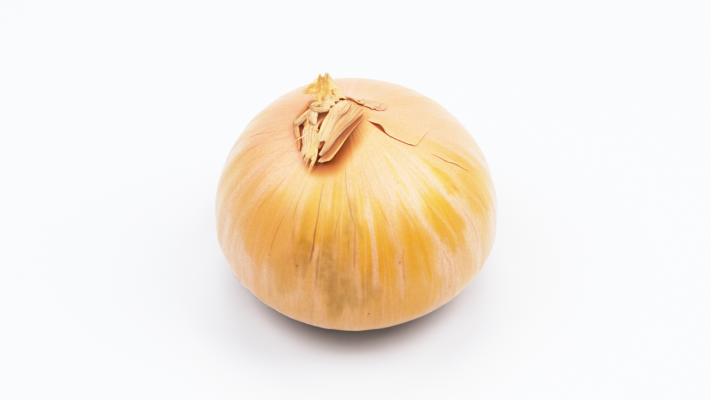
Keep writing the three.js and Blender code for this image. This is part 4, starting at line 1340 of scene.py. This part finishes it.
def makeSheathMaterial():
    material, tree, shader = newMaterial(
        "driedSheath", **{"Roughness": 0.58, "Sheen Weight": 0.3, "Sheen Roughness": 0.4,
                          "Emission Strength": 0.45},
    )
    c = sheathColours
    across, along, which = splitVector(tree, addAttribute(tree, "sheathGrain", "Vector"))
    shares = addVector(tree, across, which, along)
    streaks = useGroup(tree, fibreGroup, Vector=shares, Across=110.0, Along=110.0)
    place = tree.nodes.new("ShaderNodeTexCoord").outputs["Object"]
    blotch = addNoise(tree, place, 420.0, 3.0, 0.6)
    specks = useGroup(tree, speckGroup, Vector=place, Scale=420.0, Size=0.16, Rarity=0.92)["Mask"]
    closeBy = addAttribute(tree, "closeness")
    colour = addLayers(tree, addAttribute(tree, "sheathTint", "Color"), c, [
        ("paleStreak", addRamp(tree, streaks["Fine"], 0.35, 0.7, 0.0, 0.4)),
        ("brownStreak", addRamp(tree, streaks["Coarse"], 0.45, 0.75, 0.0, 0.5)),
        ("blotch", addRamp(tree, blotch, 0.52, 0.75, 0.0, 0.3)),
        ("line", times(tree, streaks["Lines"], 0.62)),
        ("speck", times(tree, specks, 0.5)),
    ])
    colour = addMix(tree, addRamp(tree, closeBy, 0.3, 1.0), colour, c["shade"], "MULTIPLY")
    # painted highlight: the thin edges are drawn paler
    colour = addMix(tree, times(tree, addAttribute(tree, "edge"), 0.55), colour, c["edge"])
    feed(tree, shader.inputs["Base Color"], colour)

    # painted glow, as emission: red-brown in the gaps between sheaths and warm where a sheath
    # stands thin and free, as if light came through the dry leaf
    paintedGlowColour = addLayers(tree, tint("000000"), c, [
        ("paintedGapGlow", addRamp(tree, closeBy, 0.5, 1.0)),
        ("paintedBackGlow", addAttribute(tree, "paintedGlow")),
    ])
    feed(tree, shader.inputs["Emission Color"], paintedGlowColour)
    height = plus(tree, streaks["Fine"], times(tree, streaks["Coarse"], 0.8))
    addBump(tree, shader, height, 0.5, 0.0002, upwardNormal(tree, 0.9))
    return material


# root tuft: a woody plate in the hollow of the foot, with short dry roots
rootTuft = {
    "plate": 6.4,
    "top": 2.7,
    "thickness": 1.1,
    "columns": 40,
    "count": 110,
    "turnEach": 2.399963,
    "radius": 0.22,
    "reach": 7.6,
}


def makeRoots(material):
    f = rootTuft
    draw = random.Random(3)
    columns = f["columns"]
    low = f["top"] - f["thickness"]
    points = [(0, 0, f["top"])]
    outline = [(f["plate"] * 0.9, f["top"]), (f["plate"], f["top"] - 0.3), (f["plate"], f["top"] - 0.8)]
    outline += [(f["plate"] * 0.85, low), (f["plate"] * 0.5, low - 0.1)]
    for r, z in outline:
        for j in range(columns):
            turn = 2 * math.pi * j / columns
            wave = 1 + 0.03 * math.sin(7 * turn) + 0.02 * math.sin(13 * turn)
            points.append((r * wave * math.cos(turn), r * wave * math.sin(turn), z))
    faces = [(0, 1 + j, 1 + (j + 1) % columns) for j in range(columns)]
    faces += ringFaces(len(outline), columns, first=1)
    last = 1 + (len(outline) - 1) * columns
    points.append((0, 0, low - 0.15))
    faces += [(len(points) - 1, last + (j + 1) % columns, last + j) for j in range(columns)]
    points = np.array(points, float)
    for i in range(f["count"]):
        turn = f["turnEach"] * i
        start = f["plate"] * 0.9 * math.sqrt((i + 0.5) / f["count"])
        end = min(f["reach"], start + draw.uniform(0.4, 2.6))
        spin = turn + draw.uniform(-0.4, 0.4)
        stops = [(start * math.cos(turn), start * math.sin(turn), low + 0.3)]
        half = (start + end) / 2
        stops.append((half * math.cos((turn + spin) / 2), half * math.sin((turn + spin) / 2), low - 0.5))
        stops.append((end * math.cos(spin), end * math.sin(spin), 0.45 + draw.uniform(0.0, 0.7)))
        more, moreFaces = strand(stops, f["radius"] * draw.uniform(0.7, 1.2), sides=6, steps=7, tip=0.5)
        faces += [tuple(k + len(points) for k in face) for face in moreFaces]
        points = np.vstack([points, more])
    piece = makePiece("root_tuft", points, faces, material)
    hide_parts("roots")
    return piece


def makeRootMaterial():
    material, tree, shader = newMaterial("dryRoot", Roughness=0.85)
    place = tree.nodes.new("ShaderNodeTexCoord").outputs["Object"]
    fibres = useGroup(tree, fibreGroup, Vector=place, Across=900.0, Along=300.0)
    colour = addMix(tree, addRamp(tree, fibres["Coarse"], 0.3, 0.7), tint("8F6E4B"), tint("C3A57C"))
    colour = addMix(tree, addRamp(tree, fibres["Fine"], 0.5, 0.8, 0.0, 0.6), colour, tint("5E432B"))
    specks = useGroup(tree, speckGroup, Vector=place, Scale=600.0, Size=0.3, Rarity=0.8)
    colour = addMix(tree, specks["Mask"], colour, tint("4A3524"))
    feed(tree, shader.inputs["Base Color"], colour)
    addBump(tree, shader, fibres["Fine"], 0.6, 0.0002)
    return material


# studio: a pale floor in a ring of soft round lights, each as (azimuth, elevation, watts) with
# azimuth 0 at the camera's side, and the film's response as (light, brightness)
studio = {
    "floorColour": (0.82, 0.86, 0.93, 1.0),
    "floorSize": 4.0,
    "floorDrop": -0.02,
    "surround": (0.97, 0.98, 1.0, 1.0),
    "surroundStrength": 0.09,
    "backdropStrength": 1.3,
    "lightSize": 0.7,
    "lightDistance": 1.1,
    "lights": {
        "frontLight": (0, 60, 3.7),
        "leftFrontLight": (-50, 55, 1.5),
        "leftLight": (-90, 55, 4.9),
        "rightLight": (90, 55, 6.9),
        "rightLowLight": (80, 25, 1.5),
        "backLight": (180, 60, 5.5),
    },
    "response": [(0.05, 0.022), (0.12, 0.062), (0.2, 0.115), (0.3, 0.2), (0.5, 0.45), (0.75, 0.76),
                 (1.0, 0.9), (1.3, 0.96), (2.0, 1.0)],
}

# camera: it looks down at 44 degrees on the middle of the bulb, sizes in millimetres
cameraView = {
    "aim": (-0.14, 2.42, 28.0),
    "elevation": 44.0,
    "distance": 560.0,
    "lens": 90.5,
    "sensor": 36.0,
}


# place a lamp or camera that looks back along a direction
def placeFacing(thing, location, away):
    thing.location = location
    thing.rotation_mode = "QUATERNION"
    thing.rotation_quaternion = away.to_track_quat("Z", "Y")


def makeStudio():
    s = studio
    half = s["floorSize"] / 2
    mesh = bpy.data.meshes.new("floor")
    corners = [(-half, -half, 0), (half, -half, 0), (half, half, 0), (-half, half, 0)]
    mesh.from_pydata(corners, [], [(0, 1, 2, 3)])
    material, _, shader = newMaterial("paleFloor", Roughness=0.9)
    shader.inputs["Base Color"].default_value = s["floorColour"]
    mesh.materials.append(material)
    floor = addObject("floor", mesh)
    floor.location.z = s["floorDrop"] * mm
    for name, (azimuth, elevation, watts) in s["lights"].items():
        turn, rise = math.radians(azimuth), math.radians(elevation)
        away = Vector((math.sin(turn) * math.cos(rise), -math.cos(turn) * math.cos(rise), math.sin(rise)))
        light = bpy.data.lights.new(name, "AREA")
        light.shape = "DISK"
        light.size = s["lightSize"]
        light.energy = watts
        placeFacing(addObject(name, light), away * s["lightDistance"], away)
    world = bpy.data.worlds.new("surround")
    world.use_nodes = True
    tree = world.node_tree
    background = tree.nodes["Background"]
    background.inputs["Color"].default_value = s["surround"]
    seen = tree.nodes.new("ShaderNodeLightPath").outputs["Is Camera Ray"]
    gain = s["backdropStrength"] - s["surroundStrength"]
    strength = addMath(tree, "MULTIPLY_ADD", seen, gain, s["surroundStrength"])
    feed(tree, background.inputs["Strength"], strength)
    bpy.context.scene.world = world
    setResponse(s["response"])


# the picture's tones: a plain transform with the film's response as its curve
def setResponse(points):
    view = bpy.context.scene.view_settings
    view.view_transform = "Standard"
    view.use_curve_mapping = True
    mapping = view.curve_mapping
    mapping.clip_max_x, mapping.clip_max_y = points[-1]
    curve = mapping.curves[3]
    curve.points[1].location = points[-1]
    for light, brightness in points[:-1]:
        curve.points.new(light, brightness)
    mapping.update()


def makeCamera():
    c = cameraView
    data = bpy.data.cameras.new("camera")
    data.lens = c["lens"]
    data.sensor_width = c["sensor"]
    data.clip_start = 0.01
    camera = addObject("camera", data)
    tilt = math.radians(c["elevation"])
    back = Vector((0, -math.cos(tilt), math.sin(tilt)))
    placeFacing(camera, Vector(c["aim"]) * mm + back * c["distance"] * mm, back)
    bpy.context.scene.camera = camera


makeCamera()
makeStudio()
print("studio and camera ready")

skinMaterial = makeSkinMaterial()
sheathMaterial = makeSheathMaterial()
rootMaterial = makeRootMaterial()
print("materials ready")

bulb, bulbSolid = makeBulb(skinMaterial)
skinTree = BVHTree.FromPolygons(bulbSolid[0].tolist(), bulbSolid[1])
splitFlap, splitSolid = makeFlap("split_flap", tears["split"], skinMaterial, skinTree)
fineFlap, fineSolid = makeFlap("fine_split_flap", tears["fineSplit"], skinMaterial, skinTree)
print("bulb ready")

neck, neckSolid, trough = makeNeck(sheathMaterial, skinTree)
fibres, fibreSolid = makeFibres(sheathMaterial, skinTree)
print("neck ready")

shading = [bulbSolid, neckSolid, splitSolid, fineSolid]
shaded = [(bulb, bulbSolid), (neck, neckSolid), (fibres, fibreSolid)]
shaded += [(splitFlap, splitSolid), (fineFlap, fineSolid)]
addCloseness(shaded, shading)
addPaintedShadow(bulb, bulbSolid[0], trough)
print("shading ready")

makeRoots(rootMaterial)
print("roots ready")
